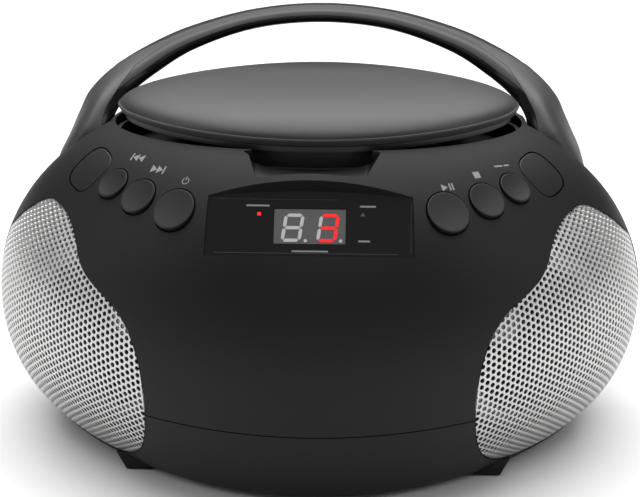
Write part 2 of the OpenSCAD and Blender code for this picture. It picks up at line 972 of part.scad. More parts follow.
module main_board() {
    color("green")
    union() {
        translate([-42, -62, floor_z + wall + 8])
            cube([84, 70, 1.6]);
        for (x = [-30, -14])
            translate([x, -30, floor_z + wall + 9.6])
                cylinder(r = 6, h = 20, $fn = 32);
        translate([8, -50, floor_z + wall + 9.6])
            cube([24, 12, 16]);
        for (x = [-38, 38])
            for (y = [-56, 2])
                translate([x, y, floor_z + wall])
                    cylinder(r = 2.5, h = 8, $fn = 24);
    }
}

// ---- shells ----------------------------------------------------------------------
screw_x = 58;
screw_y = 62;
foot_x = 73;
foot_y = 52;
foot_w = 16;
foot_d = 13;

module opening() {
    translate([0, 0, tray_top - 20])
        linear_extrude(200)
            plan(lid_gap, rear_extra);
}

module finger_scoop(grow) {
    y0 = -lid_front - 13 - grow;
    y1 = -lid_front + 2;
    w = 24.5 + grow;
    t = 4 + grow;
    skin([
        [[-w, y0, crown_z(y0) - 1 - grow], [w, y0, crown_z(y0) - 1 - grow],
         [w + t, y1, rim_z - 8 - grow], [-w - t, y1, rim_z - 8 - grow]],
        [[-w, y0, rim_z + 20], [w, y0, rim_z + 20],
         [w + t, y1, rim_z + 20], [-w - t, y1, rim_z + 20]]]);
}

module front_shell() {
    color("dimgray")
    difference() {
        intersection() {
            body(seam_z + seam_gap / 2, rim_z + 4, 0, 18);
            half(true, seam_gap / 2);
        }
        difference() {
            body(seam_z - 5, rim_z + 6, wall, 18);
            finger_scoop(wall);
            on_window()
                translate([0, 0, -wall])
                    linear_extrude(60)
                        window_form(3.4);
        }
        opening();
        finger_scoop(0);
        on_window()
            linear_extrude(60)
                window_form(0);
        on_window()
            translate([0, 0, -wall - 1])
                linear_extrude(wall + 1)
                    window_form(1.3);
        for (s = [-1, 1])
            grille_prism(s, grille_gap, 3);
        for (s = [-1, 1])
            for (i = [0:2])
                round_hole(s, i, key_gap);
        for (s = [-1, 1])
            cap_hole(s, key_gap);
    }
}

module rear_shell() {
    color("dimgray")
    difference() {
        intersection() {
            body(seam_z + seam_gap / 2, rim_z + 4, 0, 18);
            half(false, seam_gap / 2);
        }
        difference() {
            body(seam_z - 5, rim_z + 6, wall, 18);
            pocket(wall);
        }
        opening();
        pocket(0);
        pivots(pivot_r, 60, 120);
        translate([-door_half - door_gap, 20, door_low - door_gap])
            cube([2 * (door_half + door_gap), 200, door_high - door_low + 2 * door_gap]);
        on_inlet()
            translate([-inlet_h / 2, -inlet_w / 2, -inlet_deep])
                cube([inlet_h, inlet_w, inlet_deep + 20]);
    }
}

module base_shell() {
    color("dimgray")
    difference() {
        body(floor_z, seam_z - seam_gap / 2, 0, 10);
        body(floor_z + wall, seam_z + 5, wall, 10);
        for (s = [-1, 1])
            grille_prism(s, grille_gap, 3);
        for (x = [-screw_x, screw_x])
            for (y = [-screw_y, screw_y])
                translate([x, y, floor_z - 1]) {
                    cylinder(r = 1.5, h = 20, $fn = 32);
                    cylinder(r = 3.4, h = 2.2, $fn = 32);
                }
    }
}

module feet() {
    color("black")
    difference() {
        for (s = [-1, 1])
            for (t = [-1, 1])
                translate([s > 0 ? foot_x : -foot_x - foot_w, t > 0 ? foot_y : -foot_y - foot_d,
                    floor_z - foot_h])
                    cube([foot_w, foot_d, foot_h + 8]);
        body(floor_z, floor_z + 20, 0, 6);
    }
}

module case_screws() {
    color("silver")
    for (x = [-screw_x, screw_x])
        for (y = [-screw_y, screw_y])
            translate([x, y, floor_z]) {
                difference() {
                    cylinder(r = 3.2, h = 1.2, $fn = 32);
                    translate([-0.4, -2.4, -1])
                        cube([0.8, 4.8, 1.6]);
                    translate([-2.4, -0.4, -1])
                        cube([4.8, 0.8, 1.6]);
                }
                translate([0, 0, 1.2])
                    cylinder(r = 1.5, h = 6, $fn = 32);
            }
}

front_shell();
rear_shell();
base_shell();
lid();
lid_liner();
lid_hinge_pins();
disc_clamp();
deck_tray();
turntable();
spindle_motor();
mech_chassis();
chassis_dampers();
guide_rods();
pickup_sled();
pickup_lens();
sled_gear();
sled_motor();
handle();
handle_trim();
handle_bushes();
pivot_pins();
key_volume_down();
key_volume_up();
key_previous();
key_next();
key_power();
key_play();
key_stop();
key_program();
key_board_left();
key_board_right();
display_window();
display_module();
display_digits();
display_board();
power_light();
mode_light();
grille_left();
grille_right();
baffle_left();
baffle_right();
basket_left();
basket_right();
cone_left();
cone_right();
dust_cap_left();
dust_cap_right();
magnet_left();
magnet_right();
main_board();
transformer();
battery_box();
battery_contacts();
battery_door();
ac_inlet();
feet();
case_screws();
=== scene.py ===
"""Looks of a compact top-loading disc boombox: moulded shells, perforated metal grilles,
keys, a glossy display and a folding carry handle.

Shapes are worked out in millimetres and put into their meshes in metres. X runs along
the width, the front looks towards -Y, Z is up.
"""

import json
import math

import bmesh
import bpy
import numpy as np
from mathutils import Matrix, Vector


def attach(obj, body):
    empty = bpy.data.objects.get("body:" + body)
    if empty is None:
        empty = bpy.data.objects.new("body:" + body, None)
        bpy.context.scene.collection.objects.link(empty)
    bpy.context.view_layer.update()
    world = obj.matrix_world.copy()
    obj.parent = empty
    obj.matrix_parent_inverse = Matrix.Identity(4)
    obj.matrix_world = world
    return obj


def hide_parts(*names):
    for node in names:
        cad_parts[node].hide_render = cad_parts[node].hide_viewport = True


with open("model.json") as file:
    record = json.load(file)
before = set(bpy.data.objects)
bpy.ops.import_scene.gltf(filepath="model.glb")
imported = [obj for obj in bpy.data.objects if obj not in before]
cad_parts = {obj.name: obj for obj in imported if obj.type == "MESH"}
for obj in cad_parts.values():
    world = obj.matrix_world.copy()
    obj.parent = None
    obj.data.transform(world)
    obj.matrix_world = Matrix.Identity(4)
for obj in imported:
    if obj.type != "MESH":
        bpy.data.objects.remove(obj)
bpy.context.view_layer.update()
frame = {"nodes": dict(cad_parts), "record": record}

MM = 0.001
HALF_W, DEPTH, WAIST, CROWN, BELLY = 152.0, 116.0, 66.0, 101.0, 85.0
FLOOR_Z, SEAM_Z, WALL, SEAM_GAP = 4.0, 42.0, 2.6, 0.5
TAPER_FRONT, TAPER_REAR, TAPER_LID = 0.26, -0.13, 0.21
LID_HALF, LID_FRONT, LID_REAR, LID_DOME, LID_WALL, LID_GAP, REAR_EXTRA = (
    92.0, 66.5, 62.0, 14.5, 2.4, 1.6, 1.6)
RIM_Z, LID_LOW, TRAY_TOP = 154.777, 151.277, 144.977
HINGE_X, HINGE_Y, HINGE_Z, LUG_W = 30.0, 51.810, 149.277, 6.0
PIVOT_Y, PIVOT_Z, PIVOT_R, EAR_R, EAR_IN = 30.0, 122.0, 4.0, 28.6, 96.2
BAY_HALF, BAY_LOW, BAY_HIGH = 77.0, 46.0, 100.4
WINDOW_HALF, WINDOW_H, WINDOW_ARCH, WINDOW_Y, WINDOW_Z, WINDOW_TILT = 43.4, 25.6, 2.6, -87.139, 125.8, 37.0
CAP_X, CAP_Z, CAP_R, CAP_ROUND = 100.2, 135.2, 10.8, 0.68
ROUND_KEYS = ((57.4, 130.0, 10.0), (74.2, 131.6, 8.8), (87.0, 133.3, 7.9))
KEY_GAP, KEY_DEEP, STEM_DEEP = 0.55, 4.2, 8.2
# Outline of a grille as width and level; the run through 400 closes it outside the body.
GRILLE_EDGE = ((121, 119), (113.5, 119.6), (107.8, 116.6), (103.8, 110.5), (101.7, 104), (97.8, 98),
    (90.5, 92.8), (82.2, 87), (76.8, 79), (73.3, 69), (71.6, 59), (71, 44.5), (72.2, 31), (75.7, 19.5),
    (83, 11.5), (92, 8.5), (400, 8.5), (400, 84), (149, 88), (145, 97), (134, 109.6))
TAU = 2 * math.pi


# ---- the form of the body ----------------------------------------------------------


def spow(v, e):
    """A power that keeps the sign of its base."""
    return np.sign(v) * np.abs(v) ** e


def level(z, d=0.0):
    """Share of the full plan at a level: a superellipse of the height over or under the waist, for the
    body shrunk by d."""
    z = np.asarray(z, float)
    t = np.clip(np.where(z > WAIST, (z - WAIST) / (CROWN - d), (WAIST - z) / (BELLY - d)), 0, 1)
    return np.where(z > WAIST, (1 - t**2) ** (1 / 2.3), (1 - t**2.2) ** (1 / 3))


def body_point(z, a, d=0.0):
    """An ellipse round the body at a level, pinched by a share of cos squared, less at the back than at
    the front."""
    s, c, n = level(z, d), np.cos(a), np.sin(a)
    t = np.where(n < 0, TAPER_FRONT, TAPER_REAR)
    x, y = (HALF_W - d) * s * c, (DEPTH - d) * s**0.9 * n * (1 - t * c * c)
    return np.stack(np.broadcast_arrays(x, y, np.asarray(z, float)), -1)


def face_at(x, z, v=-1):
    """The front (v = -1) or rear (v = 1) surface over a width and a level."""
    x, z = np.asarray(x, float), np.asarray(z, float)
    s = level(z)
    q = np.clip((x / (HALF_W * s)) ** 2, 0, 1)
    y = v * DEPTH * s**0.9 * np.sqrt(1 - q) * (1 - (TAPER_FRONT if v < 0 else TAPER_REAR) * q)
    return np.stack(np.broadcast_arrays(x, y, z), -1)


def face_normal(x, z, v=-1):
    """Outward direction of that surface, from two short steps along it."""
    p = face_at(x, z, v)
    n = -v * np.cross(face_at(x + 0.5, z, v) - p, face_at(x, z + 0.5, v) - p)
    return n / np.linalg.norm(n, axis=-1, keepdims=True)


def body_normal(p, d=0.0):
    """Outward direction of the body's form at points on it: the cross product of its two tangents there."""
    z = np.clip(p[:, 2], FLOOR_Z, 160)
    s = level(z, d)
    c = np.clip(p[:, 0] / ((HALF_W - d) * s), -1, 1)
    a = np.arctan2(np.where(p[:, 1] < 0, -1, 1) * np.sqrt(1 - c * c), c)
    round_way = body_point(z, a + 0.002, d) - body_point(z, a - 0.002, d)
    up_way = body_point(z + 0.02, a, d) - body_point(z - 0.02, a, d)
    n = np.cross(round_way, up_way)
    return n / np.maximum(np.linalg.norm(n, axis=1, keepdims=True), 1e-12)


def crown_z(y):
    """Level of the crown over a point of the middle plane."""
    return WAIST + CROWN * math.sqrt(1 - (abs(y) / DEPTH) ** (2.3 / 0.9))


def body_levels(lo, hi, n, d=0.0):
    """Levels spaced by equal steps of the arc's angle, so that the curve is as fine near the crown as at
    the waist."""
    a0 = math.asin((lo - WAIST) / (BELLY - d)) if lo < WAIST else math.asin((lo - WAIST) / (CROWN - d))
    a1 = math.asin((hi - WAIST) / (BELLY - d)) if hi < WAIST else math.asin((hi - WAIST) / (CROWN - d))
    a = np.linspace(a0, a1, n)
    z = WAIST + np.where(a > 0, CROWN - d, BELLY - d) * np.sin(a)
    z[0], z[-1] = lo, hi
    return z


# ---- meshes ------------------------------------------------------------------------


def piece_from(name, points, faces):
    """A mesh object from points in millimetres and lists of their numbers."""
    mesh = bpy.data.meshes.new(name)
    mesh.from_pydata((np.asarray(points, float) * MM).tolist(), [], faces)
    piece = bpy.data.objects.new(name, mesh)
    bpy.context.scene.collection.objects.link(piece)
    return piece


def faced_out(piece):
    """Turns a closed mesh's faces outwards."""
    work = bmesh.new()
    work.from_mesh(piece.data)
    bmesh.ops.recalc_face_normals(work, faces=work.faces)
    work.to_mesh(piece.data)
    work.free()
    return piece


def skin(name, rows):
    """A closed solid from a stack of loops, levels by points by three: quads between loops and a flat face
    on each end."""
    m, n = rows.shape[:2]
    k = np.arange(m * n).reshape(m, n)
    a, b = k[:-1], k[1:]
    quads = np.stack([a, np.roll(a, -1, 1), np.roll(b, -1, 1), b], -1).reshape(-1, 4)
    return faced_out(
        piece_from(name, rows.reshape(-1, 3), quads.tolist() + [k[0, ::-1].tolist(), k[-1].tolist()])
    )


def turned(name, profile, n=96):
    """A closed solid of revolution about z: a profile of radius and height pairs carried round in n
    steps."""
    profile = np.asarray(profile, float)
    a = np.arange(n) * TAU / n
    ring = np.stack([np.cos(a), np.sin(a), np.zeros(n)], -1)
    return skin(name, profile[:, :1, None] * ring + profile[:, 1:, None] * np.array([0, 0, 1.0]))


def prism(name, outline, lo, hi):
    """A flat outline drawn out from one height to another."""
    outline = np.asarray(outline, float)
    rows = [np.column_stack([outline, np.full(len(outline), z)]) for z in (lo, hi)]
    return skin(name, np.array(rows))


def block(name, low, high):
    """A box between two corners, to cut with."""
    (x0, y0, z0), (x1, y1, z1) = low, high
    return prism(name, [(x0, y0), (x1, y0), (x1, y1), (x0, y1)], z0, z1)


def placed(piece, matrix):
    """Moves a piece's points, given in millimetres, by a matrix."""
    m = matrix.copy()
    m.translation = m.translation * MM
    piece.data.transform(m)
    return piece


def facing(p, v, spin=0.0):
    """The frame at a point whose z looks along v, turned about it."""
    b, a = math.acos(v[2]), math.atan2(v[1], v[0])
    turn = Matrix.Rotation(a, 4, "Z") @ Matrix.Rotation(b, 4, "Y") @ Matrix.Rotation(spin, 4, "Z")
    return Matrix.Translation(Vector([float(q) for q in p])) @ turn


def carved(piece, *steps):
    """Takes solids from a piece, adds them to it or keeps what they share, in order, and clears the tools
    away."""
    for way, tool in steps:
        cut = piece.modifiers.new(way, "BOOLEAN")
        cut.operation, cut.solver, cut.object = way, "MANIFOLD", tool
    bpy.context.view_layer.update()
    seen = piece.evaluated_get(bpy.context.evaluated_depsgraph_get())
    mesh = bpy.data.meshes.new_from_object(seen)
    piece.modifiers.clear()
    old, piece.data = piece.data, mesh
    bpy.data.meshes.remove(old)
    for way, tool in steps:
        bpy.data.objects.remove(tool)
    return piece


def smoothed(piece, angle=30.0, form=None, near=12.0):
    """Smooth shading broken at edges sharper than the angle; faces that lie on a form take their normals
    from its formula."""
    mesh = piece.data
    mesh.shade_smooth()
    mesh.set_sharp_from_angle(angle=math.radians(angle))
    if form is None:
        return piece
    points, faces = np.empty(len(mesh.vertices) * 3), np.empty(len(mesh.polygons) * 3)
    mesh.vertices.foreach_get("co", points)
    mesh.polygons.foreach_get("normal", faces)
    corner, count = np.empty(len(mesh.loops), int), np.empty(len(mesh.polygons), int)
    mesh.loops.foreach_get("vertex_index", corner)
    mesh.polygons.foreach_get("loop_total", count)
    wanted = form(points.reshape(-1, 3) / MM)[corner]
    of_face = np.repeat(faces.reshape(-1, 3), count, axis=0)
    on_form = (wanted * of_face).sum(1) > math.cos(math.radians(near))
    mesh.normals_split_custom_set(np.where(on_form[:, None], wanted, 0.0).tolist())
    return piece


def flat_faced(piece):
    """Splits a flat-sided piece into triangles, each with its own plain normal."""
    work = bmesh.new()
    work.from_mesh(piece.data)
    bmesh.ops.triangulate(work, faces=work.faces, quad_method="BEAUTY", ngon_method="BEAUTY")
    work.to_mesh(piece.data)
    work.free()
    piece.data.shade_flat()
    return piece


def settle(piece, slot, body, *nodes):
    """Gives a piece its finish, its body and the CAD nodes that it stands for."""
    piece.data.materials.clear()
    piece.data.materials.append(FINISHES[slot] if slot in FINISHES else EXTRA[slot])
    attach(piece, body)
    if nodes:
        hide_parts(*nodes)
    return piece


# ---- finishes ----------------------------------------------------------------------


class Wire:
    """A value or vector on its way between nodes; sums and products of values add their Math nodes."""

    def __init__(self, finish, socket):
        self.finish, self.socket = finish, socket

    def maths(self, way, a, b):
        return self.finish.node("ShaderNodeMath", {"operation": way}, **{"0": a, "1": b})

    def __add__(self, other):
        return self.maths("ADD", self, other)

    def __radd__(self, other):
        return self.maths("ADD", other, self)

    def __sub__(self, other):
        return self.maths("SUBTRACT", self, other)

    def __rsub__(self, other):
        return self.maths("SUBTRACT", other, self)

    def __mul__(self, other):
        return self.maths("MULTIPLY", self, other)

    def __rmul__(self, other):
        return self.maths("MULTIPLY", other, self)

    def __pow__(self, other):
        return self.maths("POWER", self, other)


class Finish:
    """One procedural material, built round a Principled shader on Object coordinates."""

    def __init__(self, name, **fixed):
        self.material = bpy.data.materials.new(name)
        self.material.use_nodes = True
        self.tree = self.material.node_tree
        self.shader = self.tree.nodes["Principled BSDF"]
        for socket, value in fixed.items():
            self.shader.inputs[socket.replace("_", " ")].default_value = value
        coords = self.tree.nodes.new("ShaderNodeTexCoord")
        self.place = Wire(self, coords.outputs["Object"])

    def node(self, kind, settings=None, out=0, **inputs):
        """Any other node: its settings first, then the values or links of its sockets, by name or number."""
        made = self.tree.nodes.new(kind)
        for key, value in (settings or {}).items():
            if key == "stops":
                for stop, (at, colour) in zip(made.color_ramp.elements, value):
                    stop.position, stop.color = at, colour
            else:
                setattr(made, key, value)
        for key, value in inputs.items():
            socket = made.inputs[int(key)] if key.isdigit() else made.inputs[key.replace("_", " ")]
            if isinstance(value, Wire):
                self.tree.links.new(value.socket, socket)
            else:
                socket.default_value = value
        return Wire(self, made.outputs[out])

    def feed(self, socket, wire):
        self.tree.links.new(wire.socket, self.shader.inputs[socket])

    def noise(self, scale, detail=2.0, rough=0.5, at=None):
        return self.node(
            "ShaderNodeTexNoise", Vector=at or self.place, Scale=scale, Detail=detail, Roughness=rough,
        )

    def between(self, share, a, b):
        return self.node("ShaderNodeMix", {"data_type": "RGBA"}, out=2, **{"0": share, "6": a, "7": b})

    def bumped(self, height, distance, strength=1.0):
        self.feed("Normal", self.node("ShaderNodeBump", Height=height, Distance=distance, Strength=strength))


def moulded(name, colour, rough=0.5, grain=0.02, fine=3600.0, specular=0.5, coat=0.0, lift=1.35):
    """Moulded plastic: a spark-eroded grain, slow drifts of tone and gloss, and faint scuffs."""
    f = Finish(name, Specular_IOR_Level=specular, Coat_Weight=coat, Coat_Roughness=0.08)
    drift, patch, grit = f.noise(18.0, 3.0), f.noise(90.0, 2.0), f.noise(fine, 2.0, 0.6)
    light = tuple(min(1.0, c * lift) for c in colour) + (1.0,)
    f.feed("Base Color", f.between(drift * 0.55 + patch * 0.25 + grit * 0.2, (*colour, 1.0), light))
    f.feed("Roughness", drift * 0.10 + grit * 0.08 + (rough - 0.09))
    pits = f.noise(fine * 0.42, 1.0, 0.5)
    f.bumped(grit * 0.6 + pits * 0.4, grain * MM, 1.0)
    return f.material


def glossy(name, colour, rough=0.1, coat=0.6, lift=1.2, specular=0.5):
    """Polished plastic: a clean face with very slow waves and hairline wear in its gloss."""
    f = Finish(name, Coat_Weight=coat, Coat_Roughness=0.04, Specular_IOR_Level=specular)
    wave, hair = f.noise(25.0, 2.0), f.noise(900.0, 3.0, 0.7)
    f.feed("Base Color", f.between(wave, (*colour, 1.0), (*(c * lift for c in colour), 1.0)))
    f.feed("Roughness", wave * 0.05 + hair * 0.07 + (rough - 0.05))
    f.bumped(wave + hair * 0.03, 0.05 * MM, 0.6)
    return f.material


def metal(name, colour, rough=0.3, brushed=(1.0, 1.0, 1.0), scale=400.0, grain=0.01, metallic=1.0):
    """Bare or painted metal: grain drawn out along one way by scaling the place, with gloss that varies."""
    f = Finish(name, Metallic=metallic)
    along = f.node("ShaderNodeMapping", Vector=f.place, Scale=brushed)
    draw, drift = f.noise(scale, 4.0, 0.65, along), f.noise(30.0, 2.0)
    f.feed(
        "Base Color",
        f.between(draw * 0.6 + drift * 0.4, (*(c * 0.86 for c in colour), 1.0), (*colour, 1.0)),
    )
    f.feed("Roughness", draw * 0.16 + drift * 0.08 + (rough - 0.12))
    f.bumped(draw, grain * MM, 1.0)
    return f.material


def glowing(name, colour, strength, lens):
    """A lit lens: coloured light that is brightest in its cells, behind a clear skin."""
    f = Finish(name, Roughness=0.25, Coat_Weight=0.5, Emission_Strength=strength)
    cell = f.noise(1500.0, 1.0)
    f.feed("Base Color", f.between(cell, (*lens, 1.0), (*(c * 1.3 for c in lens), 1.0)))
    f.feed("Emission Color", f.between(cell, (*(c * 0.85 for c in colour), 1.0), (*colour, 1.0)))
    return f.material


def board(name):
    """Green circuit board: weave under the mask and a net of slightly raised tracks."""
    f = Finish(name, Roughness=0.38, Coat_Weight=0.3)
    tracks = f.node(
        "ShaderNodeTexBrick", {"offset": 0.5}, out=1, Vector=f.place, Scale=260.0, Mortar_Size=0.09,
    )
    weave = f.noise(2600.0, 1.0)
    f.feed(
        "Base Color",
        f.between(tracks * 0.7 + weave * 0.3, (0.008, 0.075, 0.03, 1.0), (0.03, 0.17, 0.07, 1.0)),
    )
    f.bumped(tracks + weave * 0.2, 0.03 * MM, 0.8)
    return f.material


def pulp(name):
    """Pressed paper: long soft fibres in a dark dyed sheet."""
    f = Finish(name, Roughness=0.85, Specular_IOR_Level=0.3)
    fibre = f.noise(1400.0, 5.0, 0.75)
    f.feed("Base Color", f.between(fibre, (0.004, 0.004, 0.004, 1.0), (0.025, 0.024, 0.023, 1.0)))
    f.bumped(fibre, 0.12 * MM, 1.0)
    return f.material


FINISHES = {
    "shell_plastic": moulded("shell_plastic", (0.0042, 0.0042, 0.0044), 0.5, 0.020, specular=0.22),
    "lid_plastic": moulded("lid_plastic", (0.012, 0.012, 0.0125), 0.46, 0.016, specular=0.5),
    "inner_plastic": moulded("inner_plastic", (0.004, 0.004, 0.004), 0.7, 0.02, specular=0.2),
    "deck_plastic": moulded("deck_plastic", (0.006, 0.006, 0.0062), 0.5, 0.02),
    "key_plastic": moulded("key_plastic", (0.0045, 0.0045, 0.0047), 0.45, 0.012, specular=0.25),
    # handle_plastic is the same black plastic as handle_gloss, painted lighter grey: painted light on the
    # handle's outward and upward faces.
    "handle_plastic": moulded("handle_plastic", (0.024, 0.024, 0.025), 0.46, 0.018, specular=0.4),
    "handle_gloss": glossy("handle_gloss", (0.003, 0.003, 0.0032), 0.22, 0.0, specular=0.22),
    "window_gloss": glossy("window_gloss", (0.0045, 0.0045, 0.0048), 0.09, 0.3, specular=0.4),
    "module_plastic": moulded("module_plastic", (0.06, 0.06, 0.062), 0.45, 0.01, 5200.0),
    "digit_glow": glowing("digit_glow", (1.0, 0.006, 0.012), 0.78, (0.35, 0.01, 0.01)),
    "light_red": glowing("light_red", (1.0, 0.01, 0.02), 0.7, (0.5, 0.02, 0.02)),
    "light_off": glossy("light_off", (0.07, 0.072, 0.075), 0.22, 0.3),
    "grille_metal": metal("grille_metal", (0.62, 0.62, 0.615), 0.40, (1.0, 1.0, 1.0), 900.0, 0.012, 0.85),
    "board": board("board"),
    "motor_metal": metal("motor_metal", (0.42, 0.42, 0.43), 0.34, (1.0, 1.0, 0.06), 500.0),
    "chassis_metal": metal("chassis_metal", (0.5, 0.5, 0.52), 0.42, (0.08, 1.0, 1.0), 500.0),
    "turntable_metal": metal("turntable_metal", (0.6, 0.6, 0.62), 0.26, (1.0, 1.0, 0.1), 700.0),
    "steel": metal("steel", (0.56, 0.57, 0.58), 0.24, (0.1, 1.0, 1.0), 800.0),
    "rubber": moulded("rubber", (0.012, 0.012, 0.012), 0.85, 0.05, 2200.0, 0.25),
    "lens_glass": glossy("lens_glass", (0.10, 0.14, 0.30), 0.05, 1.0, 1.5),
    "gear_plastic": moulded("gear_plastic", (0.55, 0.52, 0.44), 0.4, 0.012, 3000.0, 0.5, lift=1.15),
    "cone_paper": pulp("cone_paper"),
    "dust_cap_metal": metal("dust_cap_metal", (0.38, 0.38, 0.39), 0.3, (1.0, 1.0, 1.0), 600.0),
    "magnet": moulded("magnet", (0.02, 0.02, 0.021), 0.55, 0.04, 1800.0),
    "transformer_iron": metal(
        "transformer_iron", (0.16, 0.15, 0.14), 0.5, (0.04, 1.0, 0.04), 900.0, 0.05, 0.8,
    ),
    "contact_metal": metal("contact_metal", (0.62, 0.6, 0.55), 0.28, (1.0, 0.1, 1.0), 700.0),
    "screw_metal": metal("screw_metal", (0.25, 0.25, 0.26), 0.35, (1.0, 1.0, 0.2), 900.0),
}
EXTRA = {
    # Painted highlight: a lighter gloss for thin strips that stand for light caught on the window plate's
    # edges.
    "window_edge_highlight": glossy("window_edge_highlight", (0.035, 0.035, 0.037), 0.2, 0.2),
    "print_grey": moulded("print_grey", (0.22, 0.22, 0.22), 0.5, 0.004, 5200.0, 0.3, lift=1.1),
    "digit_dark": moulded("digit_dark", (0.46, 0.46, 0.46), 0.4, 0.004, 5200.0, 0.4, lift=1.1),
}


# ---- body shells -------------------------------------------------------------------


def body(name, lo, hi, d=0.0, n=66, around=384):
    """The body's form between two levels as one closed solid."""
    a = (np.arange(around) + 0.5) * TAU / around
    return skin(name, body_point(body_levels(lo, hi, n, d)[:, None], a[None], d))


def plan_outline(d, dr=0.0, n=288):
    """The lid's plan grown by d: half an ellipse forwards and another backwards, both pinched towards the
    tips."""
    a = (np.arange(n) + 0.5) * TAU / n
    c, s = np.cos(a), np.sin(a)
    return np.stack(
        [
            (LID_HALF + d) * c,
            np.where(s < 0, LID_FRONT + d, LID_REAR + d + dr) * s * (1 - TAPER_LID * c * c),
        ],
        -1,
    )


def window_outline(d=0.0, out=0.0):
    """The window's outline with an arched top, and for the drafted recess each side moved out by its own
    slope times a height."""
    t = np.linspace(1, -1, 41)
    w, low, high = WINDOW_HALF + d + 0.1 * out, WINDOW_H / 2 + d + 0.30 * out, WINDOW_H / 2 + d + 0.43 * out
    arch = np.stack([t * (w - 0.8), high + WINDOW_ARCH * (1 - t * t)], -1)
    return np.concatenate([[(-w, -low), (w, -low)], arch])


def loft(name, low, high, z0, z1):
    """A solid between two outlines of as many points at two heights."""
    return skin(
        name,
        np.array(
            [np.column_stack([low, np.full(len(low), z0)]), np.column_stack([high, np.full(len(high), z1)])]
        ),
    )


ON_WINDOW = Matrix.Translation(Vector((0, WINDOW_Y, WINDOW_Z))) @ Matrix.Rotation(
    math.radians(90 - WINDOW_TILT), 4, "X",
)


def key_place(side, i):
    """The frame of one round key: on the front's surface, leaning a little upwards."""
    x, z, r = ROUND_KEYS[i]
    v = face_normal(x, z) + np.array([0, 0, 0.16])
    p, v = face_at(x, z), v / np.linalg.norm(v)
    return facing(p * (side, 1, 1), v * (side, 1, 1))


def cap_place(side):
    """The frame of one end key, which lies in the surface, turned with its corner up."""
    return facing(
        face_at(CAP_X, CAP_Z) * (side, 1, 1), face_normal(CAP_X, CAP_Z) * (side, 1, 1),
        math.radians(side * 12),
    )


def squircle(r, n=96):
    """A square with very round sides: both coordinates are rounded powers of cosine and sine."""
    a = np.arange(n) * TAU / n
    return r * np.stack([spow(np.cos(a), CAP_ROUND), spow(np.sin(a), CAP_ROUND)], -1)


def grille_cut(side, d, back):
    """The grille's outline grown by d and drawn forwards from a plane, to cut with or to keep."""
    edge = np.array(GRILLE_EDGE, float)
    run = np.concatenate([edge[18:], edge[:16]])
    t = np.linspace(0, len(run) - 1.001, 4 * len(run))
    i, t = t.astype(int), (t % 1)[:, None]
    a, b, c, e = (run[np.clip(i + k, 0, len(run) - 1)] for k in (-1, 0, 1, 2))
    curve = 0.5 * (
        2 * b + (c - a) * t + (2 * a - 5 * b + 4 * c - e) * t * t + (3 * b - a - 3 * c + e) * t**3
    )
    keep = curve[:, 0] < 165
    v = np.concatenate([[(400, 8.5), (400, 84)], curve[keep]]) - (112, 62)
    p = (112, 62) + v + d * v / np.linalg.norm(v, axis=1, keepdims=True)
    rows = [np.column_stack([side * p[:, 0], np.full(len(p), y), p[:, 1]]) for y in (-400.0, -back)]
    return skin("grille_cut", np.array(rows))


def scoop(grow=0.0):
    """The finger scoop: a trapezoid with sloping cheeks that deepens towards the lid."""
    y0, y1 = -LID_FRONT - 13 - grow, -LID_FRONT + 2
    w, t = 24.5 + grow, 4 + grow
    z0, z1 = crown_z(y0) - 1 - grow, RIM_Z - 8 - grow
    low = [(-w + 1.6, y0 + 1.2, z0), (w - 1.6, y0 + 1.2, z0), (w + t - 3.6, y1, z1), (-w - t + 3.6, y1, z1)]
    high = [
        (-w - 12, y0 - 3.0, RIM_Z + 20), (w + 12, y0 - 3.0, RIM_Z + 20), (w + t + 20, y1, RIM_Z + 20),
        (-w - t - 20, y1, RIM_Z + 20),
    ]
    return skin("scoop", np.array([low, high]))


def dish():
    """A shallow oval hollow in the scoop's floor, for the finger tips."""
    a, b = np.linspace(0.02, math.pi - 0.02, 24), np.arange(96) * TAU / 96
    x = 24.0 * np.sin(a)[:, None] * np.cos(b)
    y = -65.5 + 11.5 * np.sin(a)[:, None] * np.sin(b)
    z = 147.6 - 3.4 * np.cos(a)[:, None] + 0 * b
    return skin("dish", np.stack([x, y, z], -1))


def opening():
    """The well that the lid covers."""
    return prism("opening", plan_outline(LID_GAP, REAR_EXTRA), TRAY_TOP - 20, 240)


def cyl_x(name, r, x0, x1, y, z, n=64):
    """A round bar along x."""
    a = np.arange(n) * TAU / n
    ring = np.stack([np.zeros(n), y + r * np.cos(a), z + r * np.sin(a)], -1)
    return skin(name, np.array([ring + (x0, 0, 0), ring + (x1, 0, 0)]))


def cyl_z(name, r, x, y, z0, z1, n=48):
    """A round bar upwards."""
    a = np.arange(n) * TAU / n
    return prism(name, np.stack([x + r * np.cos(a), y + r * np.sin(a)], -1), z0, z1)


